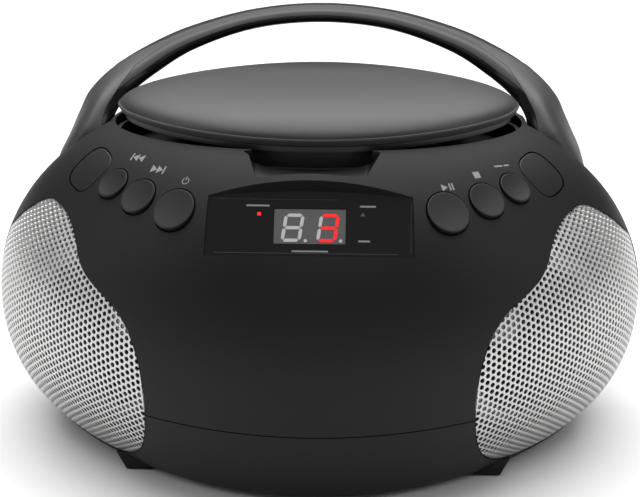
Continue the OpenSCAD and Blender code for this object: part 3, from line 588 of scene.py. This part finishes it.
shell = carved(
    body("front_shell_skin", SEAM_Z + SEAM_GAP / 2, RIM_Z + 4),
    ("DIFFERENCE", block("behind", (-300, -SEAM_GAP / 2, -50), (300, 300, 300))),
    (
        "DIFFERENCE",
        carved(
            body("inside", SEAM_Z - 5, RIM_Z + 6, WALL, 30, 192),
            ("DIFFERENCE", scoop(WALL + 0.6)),
            ("DIFFERENCE", placed(prism("window_seat", window_outline(3.4), -WALL, 60), ON_WINDOW)),
        ),
    ),
    ("DIFFERENCE", opening()),
    ("DIFFERENCE", scoop()),
    ("DIFFERENCE", dish()),
    ("DIFFERENCE", placed(loft("recess", window_outline(), window_outline(0, 30), -0.5, 30), ON_WINDOW)),
    ("DIFFERENCE", placed(prism("window_back", window_outline(1.3), -WALL - 1, 0.0), ON_WINDOW)),
    *[("DIFFERENCE", grille_cut(s, 0.5, 3)) for s in (-1, 1)],
    *[
        (
            "DIFFERENCE",
            placed(
                turned("hole", [(ROUND_KEYS[i][2] + 0.15, -30), (ROUND_KEYS[i][2] + 0.15, 20)]),
                key_place(s, i),
            ),
        )
        for s in (-1, 1)
        for i in range(3)
    ],
    *[
        (
            "DIFFERENCE", placed(prism("hole", squircle(CAP_R + KEY_GAP), -30, 20), cap_place(s)),
        ) for s in (-1, 1)
    ],
)
settle(smoothed(shell, 30, body_normal), "shell_plastic", "housing", "front_shell")


def pocket(side, grow):
    """Where a handle arm sits: a round well about the pivot, open upwards in front of it."""
    x0, r = EAR_IN - grow, EAR_R + 1 + grow
    well = cyl_x("well", r, side * x0, side * (x0 + 90), PIVOT_Y, PIVOT_Z, 128)
    lo, hi = sorted((side * x0, side * (x0 + 90)))
    return carved(well, ("UNION", block("up", (lo, -1, PIVOT_Z), (hi, PIVOT_Y, PIVOT_Z + 90))))


on_inlet = facing(face_at(-100, 56, 1), face_normal(-100, 56, 1))
door_hole = (-BAY_HALF - 1, BAY_HALF + 1, BAY_LOW - 0.5, BAY_HIGH + 1)
shell = carved(
    body("rear_shell_skin", SEAM_Z + SEAM_GAP / 2, RIM_Z + 4),
    ("DIFFERENCE", block("before", (-300, -300, -50), (300, SEAM_GAP / 2, 300))),
    (
        "DIFFERENCE",
        carved(
            body("inside", SEAM_Z - 5, RIM_Z + 6, WALL, 30, 192),
            ("DIFFERENCE", pocket(-1, WALL)),
            ("DIFFERENCE", pocket(1, WALL)),
        ),
    ),
    ("DIFFERENCE", opening()),
    ("DIFFERENCE", pocket(-1, 0)),
    ("DIFFERENCE", pocket(1, 0)),
    ("DIFFERENCE", cyl_x("pins", PIVOT_R, -120, -60, PIVOT_Y, PIVOT_Z)),
    ("DIFFERENCE", cyl_x("pins", PIVOT_R, 60, 120, PIVOT_Y, PIVOT_Z)),
    (
        "DIFFERENCE",
        block(
            "door_hole", (door_hole[0] - 0.5, 20, door_hole[2] - 0.5),
            (door_hole[1] + 0.5, 220, door_hole[3] + 0.5),
        ),
    ),
    ("DIFFERENCE", placed(block("inlet_hole", (-7, -12, -20), (7, 12, 20)), on_inlet)),
)
settle(smoothed(shell, 30, body_normal), "shell_plastic", "housing", "rear_shell")

screws = []
for x in (-58, 58):
    for y in (-62, 62):
        screws.append(("DIFFERENCE", cyl_z("screw_hole", 1.5, x, y, FLOOR_Z - 1, FLOOR_Z + 19)))
        screws.append(("DIFFERENCE", cyl_z("screw_well", 3.4, x, y, FLOOR_Z - 1, FLOOR_Z + 1.2)))
shell = carved(
    body("base_shell_skin", FLOOR_Z, SEAM_Z - SEAM_GAP / 2, 0, 36),
    ("DIFFERENCE", body("inside", FLOOR_Z + WALL, SEAM_Z + 5, WALL, 18, 192)),
    *[("DIFFERENCE", grille_cut(s, 0.5, 3)) for s in (-1, 1)],
    *screws,
)
settle(smoothed(shell, 30, body_normal), "shell_plastic", "housing", "base_shell")


door = carved(
    body("battery_door_skin", BAY_LOW - 6.5, BAY_HIGH + 7),
    ("DIFFERENCE", body("inside", BAY_LOW - 7.5, BAY_HIGH + 8, WALL, 24, 192)),
    ("INTERSECT", block("door_edge", (door_hole[0], 20, door_hole[2]), (door_hole[1], 220, door_hole[3]))),

)
settle(smoothed(door, 30, body_normal), "shell_plastic", "battery_door_body", "battery_door")


# ---- lid ---------------------------------------------------------------------------


def lid_rows(d, base):
    """The lid's rows: a drawn-in skirt, a narrow flat lip with a soft edge, then a superellipse dome."""
    r = 1 - np.linspace(0, 1, 46) ** 1.6 * 0.985
    z = RIM_Z + (LID_DOME - d) * (1 - r**2.6) ** (1 / 2.4)
    if d == 0:
        keep = r < 0.9885
        lip_z = RIM_Z + LID_DOME * (1 - 0.9885**2.6) ** (1 / 2.4)
        soft = np.linspace(0, math.pi / 2, 7)
        edge_r, edge_z = 1 - 0.006 + 0.006 * np.cos(soft), lip_z - 1.35 + 0.55 * np.sin(soft)
        r = np.concatenate([[0.963, 0.965, 0.985, 0.9985], edge_r, [0.9905, 0.989], r[keep]])
        z = np.concatenate(
            [
                [base, RIM_Z - 1.2, RIM_Z - 0.5, edge_z[0] - 0.35], edge_z, [lip_z - 0.72, lip_z - 0.3],
                z[keep],
            ]
        )
    else:
        r, z = np.concatenate([[0.975], r]), np.concatenate([[base], z])
    q = plan_outline(-d)
    return np.concatenate(
        [r[:, None, None] * q[None], np.broadcast_to(z[:, None, None], (len(z), len(q), 1))], -1,
    )


def lug(x, grow, lo, hi):
    """One of the lid's hinge lugs."""
    w = LUG_W / 2 + grow
    return block("lug", (x - w, HINGE_Y - 3.5 - grow, lo), (x + w, HINGE_Y + 3.5 + grow, hi))


lid = carved(
    skin("lid_skin", lid_rows(0, LID_LOW)),
    ("DIFFERENCE", skin("inside", lid_rows(LID_WALL, LID_LOW - 1))),
    *[("UNION", lug(s * HINGE_X, 0, HINGE_Z - 3.5, LID_LOW + 3.5)) for s in (-1, 1)],
    *[
        (
            "DIFFERENCE", cyl_x("pin_hole", 2.08, s * HINGE_X - 5, s * HINGE_X + 5, HINGE_Y, HINGE_Z),
        ) for s in (-1, 1)
    ],
)
settle(smoothed(lid, 28), "lid_plastic", "lid_body", "lid")


feet = []
for sx in (-1, 1):
    for sy in (-1, 1):
        low = [(sx * x, sy * y, 0.0) for x, y in ((73.6, 52.6), (84.0, 52.6), (84.0, 63.0), (73.6, 63.0))]
        mid = [(sx * x, sy * y, 0.8) for x, y in ((73.0, 52.0), (85.0, 52.0), (85.0, 64.0), (73.0, 64.0))]
        top = [(sx * x, sy * y, 9.5) for x, y in ((73.0, 52.0), (89.0, 52.0), (89.0, 65.0), (73.0, 65.0))]
        feet.append(skin("foot", np.array([low, mid, top])))
foot = carved(
    feet[0], *[("UNION", f) for f in feet[1:]],
    ("DIFFERENCE", body("floor_form", FLOOR_Z, FLOOR_Z + 20, 0.0, 12)),
)
settle(smoothed(foot, 20), "rubber", "housing", "feet")


a = np.linspace(-math.pi / 2 - 0.47, -math.pi / 2 + 0.47, 41)
inner, outer = (np.stack([q * np.cos(a), q * np.sin(a)], -1) for q in (60.9, 62.3))
lip = prism("deck_lip", np.concatenate([outer, inner[::-1]]), 135.6, 150.7)
settle(smoothed(lip, 30), "deck_plastic", "housing")


# ---- handle ------------------------------------------------------------------------

ARM = np.array([
    [0, 50, 186.2, 0, 70, 188.4, 3.7, 2.2],
    [33.1, 50, 182.7, 34.1, 70, 185.3, 3.7, 2.2],
    [62.4, 49, 172.6, 66.6, 70, 176.3, 3.9, 2.4],
    [80.7, 43, 162.7, 90, 66, 165.3, 4.7, 2.6],
    [92.7, 30, 156, 103.6, 58, 155.8, 5.6, 3],
    [99.5, 14, 150, 110.6, 50, 148, 6.2, 3.4],
    [104.2, 3.5, 141.2, 112, 50, 139.5, 8.4, 3.8],
    [108.8, 1.5, 131, 113.8, 56, 129, 10.8, 4.2],
    [112.3, 1.4, 121, 115.3, 58.6, 120, 12.8, 4.2],
    [114, 4.832, 108.5, 116.5, 55.168, 108.5, 13.3, 4.2],
    [115, 11.696, 100.5, 117, 48.304, 100.2, 12.8, 4.2],
    [115.5, 20.276, 95.6, 117, 39.724, 95.6, 11.5, 4.2],
])
ARM_N = len(ARM) - 1
ARM_ALL = np.concatenate([ARM[:0:-1] * (-1, 1, 1, -1, 1, 1, 1, 1), ARM])


def arm_at(u):
    """Edges, half thickness and roundness along the handle: a Catmull-Rom curve through its stations."""
    i = np.minimum(np.floor(u), ARM_N - 1).astype(int)
    t = (u - i)[:, None]
    a, b, c, d = (ARM_ALL[np.clip(i + k, -ARM_N, ARM_N) + ARM_N] for k in (-1, 0, 1, 2))
    return 0.5 * (2 * b + (c - a) * t + (2 * a - 5 * b + 4 * c - d) * t * t + (3 * b - a - 3 * c + d) * t**3)


def handle_part(name, inner, m=72, k=26, gap=0.2):
    """A superellipse section carried along the handle and split by a flat cut into an inner part and
    an outer one.

    The cut runs close to the outer side over the arch and past the middle towards the inner side
    down the arms.
    """
    u = np.linspace(-ARM_N, ARM_N, 2 * ARM_N * k + 1)
    s, lo, hi = arm_at(u), arm_at(np.maximum(u - 0.05, -ARM_N)), arm_at(np.minimum(u + 0.05, ARM_N))
    way = hi[:, :3] + hi[:, 3:6] - lo[:, :3] - lo[:, 3:6]
    way /= np.linalg.norm(way, axis=1, keepdims=True)
    w = (s[:, 3:6] - s[:, :3]) / 2
    n = np.cross(w, way)
    n /= np.linalg.norm(n, axis=1, keepdims=True)
    e = s[:, 7:8]
    cut = np.interp(
        np.abs(u), (0, 2.4, 3.4, 4.6, 6.0, ARM_N), (0.999, 0.999, 0.93, 0.3, -0.3, -0.35),
    )[:, None]
    a0 = np.sign(cut) * np.arcsin(np.abs(cut) ** (e / 2))
    start, stop = (-a0, math.pi + a0) if inner else (math.pi + a0, TAU - a0)
    a = start + (stop - start) * np.linspace(0, 1, m)[None]
    centre = (s[:, :3] + s[:, 3:6]) / 2
    arc = (centre[:, None]
        + w[:, None] * spow(np.cos(a), 2 / e)[..., None]
        + (n * s[:, 6:7])[:, None] * spow(np.sin(a), 2 / e)[..., None])
    down = np.zeros_like(n) if inner else -gap * np.minimum(1, 4 * (1 - cut)) * n
    arc[:, 0] += down
    share = np.linspace(0, 1, 13)[None, :-1, None]
    chord = arc[:, -1:] + (arc[:, :1] - down[:, None] - arc[:, -1:]) * share + down[:, None]
    return skin(name, np.concatenate([arc[:, :-1], chord], 1))


# The outer part takes the lighter handle_plastic tone as painted light on faces turned up and outwards, and
# the inner part the near-black gloss; the cut lies where that painted light ends.
for inner, name, slot in ((True, "handle", "handle_gloss"), (False, "handle_trim", "handle_plastic")):
    part = carved(
        handle_part(name + "_form", inner),
        ("DIFFERENCE", cyl_x("bush", PIVOT_R + 3, -112, -90, PIVOT_Y, PIVOT_Z)),
        ("DIFFERENCE", cyl_x("bush", PIVOT_R + 3, 90, 112, PIVOT_Y, PIVOT_Z)),
    )
    settle(smoothed(part, 34), slot, "handle_body", name)


# ---- keys --------------------------------------------------------------------------

ROUND_NAMES = {
    (-1, 0): "key_power", (-1, 1): "key_next", (-1, 2): "key_previous", (1, 0): "key_play",
    (1, 1): "key_stop", (1, 2): "key_program",
}
for (side, i), name in ROUND_NAMES.items():
    r = ROUND_KEYS[i][2] - 0.4
    bend = np.linspace(0, math.pi / 2, 9)
    edge = np.stack([r - 0.4 + 0.4 * np.cos(bend), 0.45 + 0.4 * np.sin(bend)], -1)
    inner = np.linspace(1, 0.02, 12)
    top = np.stack([(r - 0.4) * inner, 0.85 - 0.5 * (1 - inner**2)], -1)
    stem = [(2.4, -STEM_DEEP), (2.4, -KEY_DEEP), (r - 1.2, -KEY_DEEP), (r, -1.0)]
    key = turned(name + "_cap", np.concatenate([stem, edge, top[1:]]), 128)
    settle(smoothed(placed(key, key_place(side, i)), 34), "key_plastic", name + "_body", name)


def end_key(name, side):
    """An end key: rings of a squircle whose top follows the body's own surface and rolls over at its
    edge."""
    place = cap_place(side)
    m = np.array(place)
    share = np.concatenate(
        [np.linspace(0.02, 0.94, 20), 1 - 0.06 * np.cos(np.linspace(0.2, math.pi / 2, 7)) * 1.0]
    )
    share = np.unique(np.clip(share, 0, 1))
    flat = share[:, None, None] * squircle(CAP_R)[None]
    spots = m[:3, 3] + flat[..., :1] * m[:3, 0] + flat[..., 1:] * m[:3, 1]
    lo, hi = np.full(flat.shape[:2], -4.0), np.full(flat.shape[:2], 4.0)
    for step in range(30):
        mid = (lo + hi) / 2
        p = spots + mid[..., None] * m[:3, 2]
        inside = p[..., 1] > face_at(p[..., 0], p[..., 2])[..., 1]
        lo, hi = np.where(inside, mid, lo), np.where(inside, hi, mid)
    roll = 0.55 * (1 - np.sqrt(np.clip(1 - ((np.clip(share, 0.94, 1) - 0.94) / 0.06) ** 2, 0, 1)))
    top = (lo + hi) / 2 - roll[:, None] - 0.02
    rings = np.concatenate([flat, top[..., None]], -1)[::-1]
    edge = rings[0]
    low = [np.column_stack([squircle(q), np.full(96, z)]) for q, z in (
        (2.4, -STEM_DEEP), (2.4, -KEY_DEEP), (CAP_R * 0.9, -KEY_DEEP), (CAP_R, -1.6))]
    key = skin(name + "_cap", np.concatenate([np.array(low), rings]))
    return settle(smoothed(placed(key, place), 34), "key_plastic", name + "_body", name)


end_key("key_volume_down", -1)
end_key("key_volume_up", 1)


# ---- grilles -----------------------------------------------------------------------


def perforated(name, side, pitch=3.15, hole=1.12, thick=0.9):
    """A sheet of hexagonal cells, each with a round hole, laid on the body's form: one way is the
    angle round it, the other the arc up it.

    Every cell is a ring of triangles between its hole and its corners, on the front and the back,
    with a wall round the hole.
    Edges that only one cell uses are the sheet's rim and get a wall as well.
    """
    step = pitch * math.sqrt(3) / 2
    z_line = np.linspace(4.6, 128, 3000)
    arc = np.concatenate([[0], np.cumsum(np.hypot(np.diff(z_line), 140 * np.diff(level(z_line, 0.4))))])
    a_line = np.linspace(0, math.pi / 2, 2000)
    front = body_point(np.full(2000, WAIST), -a_line, 0.4)
    run = np.concatenate([[0], np.cumsum(np.linalg.norm(np.diff(front, axis=0), axis=1))])
    cols, rows = int(run[-1] * 0.80 / step), int(arc[-1] / pitch) - 1
    ci, cj = (g.ravel() for g in np.meshgrid(np.arange(cols), np.arange(rows), indexing="ij"))
    centre = np.stack([ci * step + 2.4, (cj + 0.5 * (ci % 2) + 0.75) * pitch], -1)
    spot = np.stack([*body_at(centre, run, a_line, arc, z_line, 0.4)], -1)
    keep = spot[:, 0] > 66
    low_x = np.array([[q[0], q[1]] for q in GRILLE_EDGE])[:16]
    edge_x = np.interp(spot[:, 2], low_x[::-1, 1], low_x[::-1, 0])
    keep &= spot[:, 0] > edge_x - 5
    keep &= spot[:, 1] < 1.0
    centre = centre[keep]
    n = len(centre)
    corner_a, hole_a = np.arange(6) * TAU / 6, np.arange(12) * TAU / 12
    corner = centre[:, None] + pitch / math.sqrt(3) * np.stack([np.cos(corner_a), np.sin(corner_a)], -1)
    rim = centre[:, None] + hole * np.stack([np.cos(hole_a), np.sin(hole_a)], -1)
    keys = np.round(corner.reshape(-1, 2) / (pitch / 12)).astype(int)
    _, first, back = np.unique(keys, axis=0, return_index=True, return_inverse=True)
    shared = corner.reshape(-1, 2)[first]
    corner_id = back.reshape(n, 6)
    rim_id = len(shared) + np.arange(n * 12).reshape(n, 12)
    flat = np.concatenate([shared, rim.reshape(-1, 2)])
    k = np.arange(6)
    h0, h1, h2 = rim_id[:, 2 * k], rim_id[:, 2 * k + 1], rim_id[:, (2 * k + 2) % 12]
    c0, c1 = corner_id[:, k], corner_id[:, (k + 1) % 6]
    tris = np.concatenate(
        [np.stack(t, -1).reshape(-1, 3) for t in ((c0, h1, h0), (c0, c1, h1), (c1, h2, h1))]
    )
    total = len(flat)
    walls = np.stack(
        [rim_id, np.roll(rim_id, -1, 1), np.roll(rim_id, -1, 1) + total, rim_id + total], -1,
    ).reshape(-1, 4)
    sides = np.stack([c0, c1], -1).reshape(-1, 2)
    _, which, uses = np.unique(np.sort(sides, 1), axis=0, return_index=True, return_counts=True)
    lone = sides[which[uses == 1]]
    borders = np.stack([lone[:, 1], lone[:, 0], lone[:, 0] + total, lone[:, 1] + total], -1)
    points = np.concatenate(
        [np.stack([*body_at(flat, run, a_line, arc, z_line, d)], -1) for d in (0.4, 0.4 + thick)]
    )
    points *= (side, 1, 1)
    sheet = faced_out(
        piece_from(
            name, points,
            tris.tolist() + (tris[:, ::-1] + total).tolist() + walls.tolist() + borders.tolist(),
        )
    )
    return carved(sheet, ("INTERSECT", grille_cut(1, 0, 3.5) if side > 0 else grille_cut(-1, 0, 3.5)))


def body_at(flat, run, a_line, arc, z_line, d):
    """Places points given by arc lengths round and up on the front of the body's form, shrunk by d."""
    a = np.interp(flat[:, 0], run, a_line)
    z = np.interp(flat[:, 1], arc, z_line)
    p = body_point(z, -a, d)
    return p[:, 0], p[:, 1], p[:, 2]


for side, name in ((-1, "grille_left"), (1, "grille_right")):
    sheet = perforated(name + "_sheet", side)
    settle(smoothed(sheet, 40, lambda p: body_normal(p, 0.4), 14), "grille_metal", "housing", name)


# ---- display -----------------------------------------------------------------------


def square(cx, cy, w, h):
    return [
        (cx - w / 2, cy - h / 2), (cx + w / 2, cy - h / 2), (cx + w / 2, cy + h / 2),
        (cx - w / 2, cy + h / 2),
    ]


plate = carved(
    prism("window_plate", window_outline(1.2), -1.6, 0),
    ("DIFFERENCE", prism("hole", square(0, 0.35, 30.2, 15.6), -3, 2)),
    ("DIFFERENCE", prism("hole", square(-21.2, 5.6, 1.7, 1.7), -3, 2)),
    ("DIFFERENCE", prism("hole", [(20.5, 4.8), (23.3, 4.8), (21.9, 7.0)], -3, 2)),
)
settle(flat_faced(placed(plate, ON_WINDOW)), "window_gloss", "housing", "display_window")
module = prism("module_block", square(0, 0.35, 29.8, 15.2), -5.6, -0.35)
settle(flat_faced(placed(module, ON_WINDOW)), "module_plastic", "housing", "display_module")
led = prism("power_lens", square(-21.2, 5.6, 1.5, 1.5), -4.6, -0.1)
settle(flat_faced(placed(led, ON_WINDOW)), "light_red", "housing", "power_light")
led = prism("mode_lens", [(20.8, 4.95), (23.0, 4.95), (21.9, 6.75)], -4.6, -0.15)
settle(flat_faced(placed(led, ON_WINDOW)), "light_off", "housing", "mode_light")


def segments(cx, cy, shown, w=8.4, h=12.4, t=1.45, slant=0.13, gap=0.22):
    """Outlines of a leaning seven-bar figure: six-sided bars with pointed ends."""
    long_h, half = w - t, (h - t) / 2

    def bar(x, y, length, upright):
        e, q = length / 2 - gap, t / 2
        p = [(-e, 0), (-e + q, -q), (e - q, -q), (e, 0), (e - q, q), (-e + q, q)]
        return [(x - b if upright else x + a, y + a if upright else y + b) for a, b in p]

    places = [(0, half, long_h, False), (long_h / 2, half / 2, half, True), (long_h / 2, -half / 2,
        half, True),
        (0, -half, long_h, False),
        (-long_h / 2, -half / 2, half, True), (-long_h / 2, half / 2, half, True), (0, 0, long_h, False)]
    return [[(cx + x + slant * y, cy + y) for x, y in bar(*places[i])] for i in shown]


def disc_outline(x, y, r, n=20):
    a = np.arange(n) * TAU / n
    return np.stack([x + r * np.cos(a), y + r * np.sin(a)], -1).tolist()


def plates(name, outlines, z0, z1):
    """Several flat outlines drawn out together as one mesh of separate closed solids."""
    points, faces, base = [], [], 0
    for outline in outlines:
        n = len(outline)
        points += [(x, y, z0) for x, y in outline] + [(x, y, z1) for x, y in outline]
        faces += [[base + k for k in range(n)][::-1], [base + n + k for k in range(n)]]
        faces += [[base + k, base + (k + 1) % n, base + n + (k + 1) % n, base + n + k] for k in range(n)]
        base += 2 * n
    return faced_out(piece_from(name, points, faces))


lit = segments(7.6, -0.3, (0, 1, 2, 3, 6))
dark = segments(-7.1, -0.3, (0, 1, 2, 3, 4, 5, 6)) + segments(7.6, -0.3, (4, 5)) + [
    disc_outline(-1.7, -5.9, 0.75), disc_outline(12.9, -5.9, 0.75),
]
settle(placed(plates("digits_lit", lit, -0.35, -0.22), ON_WINDOW), "digit_glow", "housing", "display_digits")
settle(placed(plates("digits_unlit", dark, -0.35, -0.22), ON_WINDOW), "digit_dark", "housing")
dashes = [
    square(-21.8, 9.2, 9.6, 0.75), square(24.0, 9.2, 6.6, 0.75), square(22.6, -6.0, 4.8, 0.75),
    square(0.3, -10.6, 15.0, 0.7),
]
dashes = [[(x, y) for x, y in d] for d in dashes]
# Painted highlights: thin lighter strips along the window plate's lower, upper and right edges stand for
# light caught on those edges.
hairline = [square(-1.5, -11.5, 76, 0.28), square(-14, 12.0, 52, 0.16), square(42.0, 0.0, 0.16, 22)]
settle(placed(plates("window_edge_highlight", hairline, -0.04, 0.05), ON_WINDOW), "window_edge_highlight", "housing")
settle(placed(plates("window_print", dashes, -0.02, 0.04), ON_WINDOW), "print_grey", "housing")


# ---- printed marks beside the keys ---------------------------------------------------


def mark_frame(x, z, lean):
    """A frame on the front's surface whose first way runs across and second way up it, turned by a lean."""
    p, n = face_at(x, z), face_normal(x, z)
    across = face_at(x + 0.5, z) - face_at(x - 0.5, z)
    across /= np.linalg.norm(across)
    up = np.cross(n, across)
    c, s = math.cos(lean), math.sin(lean)
    return p, across * c + up * s, up * c - across * s, n


def printed(name, x, z, outlines, lean=0.0, lift=0.05):
    """Flat printed shapes: each outline laid on the surface through that frame and drawn out by a hair."""
    p, a, b, n = mark_frame(x, z, lean)
    points, faces, base = [], [], 0
    for outline in outlines:
        q = np.asarray(outline, float)
        spot = p + q[:, :1] * a + q[:, 1:] * b
        spot = face_at(spot[:, 0], spot[:, 2])
        m = len(q)
        points += [*(spot - 0.1 * n), *(spot + lift * n)]
        faces += [[base + k for k in range(m)][::-1], [base + m + k for k in range(m)]]
        faces += [[base + k, base + (k + 1) % m, base + m + (k + 1) % m, base + m + k] for k in range(m)]
        base += 2 * m
    return settle(faced_out(piece_from(name, np.array(points), faces)), "print_grey", "housing")


def triangle(x, w, h):
    return [(x, -h / 2), (x + w, 0), (x, h / 2)]


def mirrored(outlines):
    return [[(-x, y) for x, y in o][::-1] for o in outlines]


skip = [triangle(-3.4, 3.2, 4.0), triangle(-0.1, 3.2, 4.0), square(3.7, 0, 0.8, 4.0)]
printed("mark_previous", -76.4, 143.4, mirrored(skip), 0.12)
printed("mark_next", -66.6, 141.6, skip, 0.1)
ring_a = np.linspace(0.55, TAU - 0.55, 19) + math.pi / 2
arc_band = [(1.75 * math.cos(t), 1.75 * math.sin(t)) for t in ring_a] + [
    (1.35 * math.cos(t), 1.35 * math.sin(t)) for t in ring_a[::-1]
]
printed("mark_power", -53.2, 140.0, [arc_band, square(0, 1.35, 0.4, 1.9)], 0.06)
printed(
    "mark_play", 57.3, 138.4,
    [triangle(-2.9, 2.9, 3.4), square(1.1, 0, 0.7, 3.4), square(2.5, 0, 0.7, 3.4)], -0.06,
)
printed("mark_stop", 70.0, 140.4, [square(0, 0, 3.3, 3.3)], -0.1)
printed("mark_program", 81.3, 141.2, [square(-1.8, 0.1, 4.6, 0.8), square(2.9, 0.1, 3.0, 0.8)], -0.14)


# ---- CAD nodes that stay -------------------------------------------------------------

slot_of = {}


def note_slots(part):
    """Finds each node's material slot wherever the record lists it."""
    if isinstance(part, dict):
        name = part.get("node") or part.get("name")
        slot = part.get("material_slot") or part.get("material") or part.get("slot")
        if isinstance(name, str) and isinstance(slot, str) and slot in FINISHES and name in frame["nodes"]:
            slot_of[name] = slot
        for value in part.values():
            note_slots(value)
    elif isinstance(part, list):
        for value in part:
            note_slots(value)


note_slots(frame["record"])
for name, piece in frame["nodes"].items():
    finish = FINISHES[slot_of.get(name, "inner_plastic")]
    if not piece.data.materials:
        piece.data.materials.append(finish)
    for k in range(len(piece.material_slots)):
        piece.material_slots[k].link = "OBJECT"
        piece.material_slots[k].material = finish


# ---- camera, lights, floor -----------------------------------------------------------


def aimed(data, name, place, target, roll=0.0):
    """An object at a place that looks at a target."""
    thing = bpy.data.objects.new(name, data)
    look = (Vector(target) - Vector(place)).to_track_quat("-Z", "Y").to_matrix().to_4x4()
    thing.matrix_world = Matrix.Translation(Vector(place)) @ look @ Matrix.Rotation(roll, 4, "Z")
    bpy.context.scene.collection.objects.link(thing)
    return thing


EYE_FAR, WORLD_GLOW = 0.75, 0.22
azimuth, rise, aim = math.radians(2.26), math.radians(20.0), Vector((0, 0, 0.075))
back = Vector((math.sin(azimuth) * math.cos(rise), -math.cos(azimuth) * math.cos(rise), math.sin(rise)))
lens = bpy.data.cameras.new("camera")
lens.lens, lens.sensor_width, lens.sensor_fit = 88.4, 36.0, "HORIZONTAL"
lens.shift_x, lens.shift_y = 0.0031, 0.0342
lens.clip_start, lens.clip_end = 0.02, 50.0
bpy.context.scene.camera = aimed(lens, "camera", aim + back * EYE_FAR, aim)


def softbox(name, place, target, width, height, power, colour=(1.0, 1.0, 1.0)):
    """A large soft lamp."""
    lamp = bpy.data.lights.new(name, "AREA")
    lamp.shape, lamp.size, lamp.size_y, lamp.energy, lamp.color = "RECTANGLE", width, height, power, colour
    return aimed(lamp, name, place, target)


softbox("overhead", (0.0, 0.25, 1.3), (0, 0.05, 0.1), 1.9, 1.5, 30)
softbox("backdrop", (0.0, 2.6, 2.2), (0, 2.4, 0), 4.0, 2.5, 60)
softbox("left", (-1.4, -0.3, 0.8), (0, 0, 0.1), 0.7, 1.0, 4)
softbox("right", (1.4, -0.3, 0.8), (0, 0, 0.1), 0.7, 1.0, 4)
softbox("front", (0.1, -1.5, 1.4), (0, 0, 0.08), 1.0, 0.4, 3)

world = bpy.data.worlds.new("studio")
bpy.context.scene.world = world
world.use_nodes = True
world.node_tree.nodes["Background"].inputs[0].default_value = (1.0, 1.0, 1.0, 1.0)
world.node_tree.nodes["Background"].inputs[1].default_value = WORLD_GLOW
bpy.context.scene.view_settings.view_transform = "Standard"

floor_paper = Finish("floor_paper", Roughness=0.9, Specular_IOR_Level=0.1)
mottle = floor_paper.noise(3.0, 3.0)
floor_paper.feed("Base Color", floor_paper.between(mottle, (0.86, 0.86, 0.86, 1.0), (0.88, 0.88, 0.88, 1.0)))
floor = piece_from(
    "floor", [(-8000, -8000, 0), (8000, -8000, 0), (8000, 8000, 0), (-8000, 8000, 0)], [[0, 1, 2, 3]],
)
floor.data.materials.append(floor_paper.material)

bpy.context.view_layer.update()
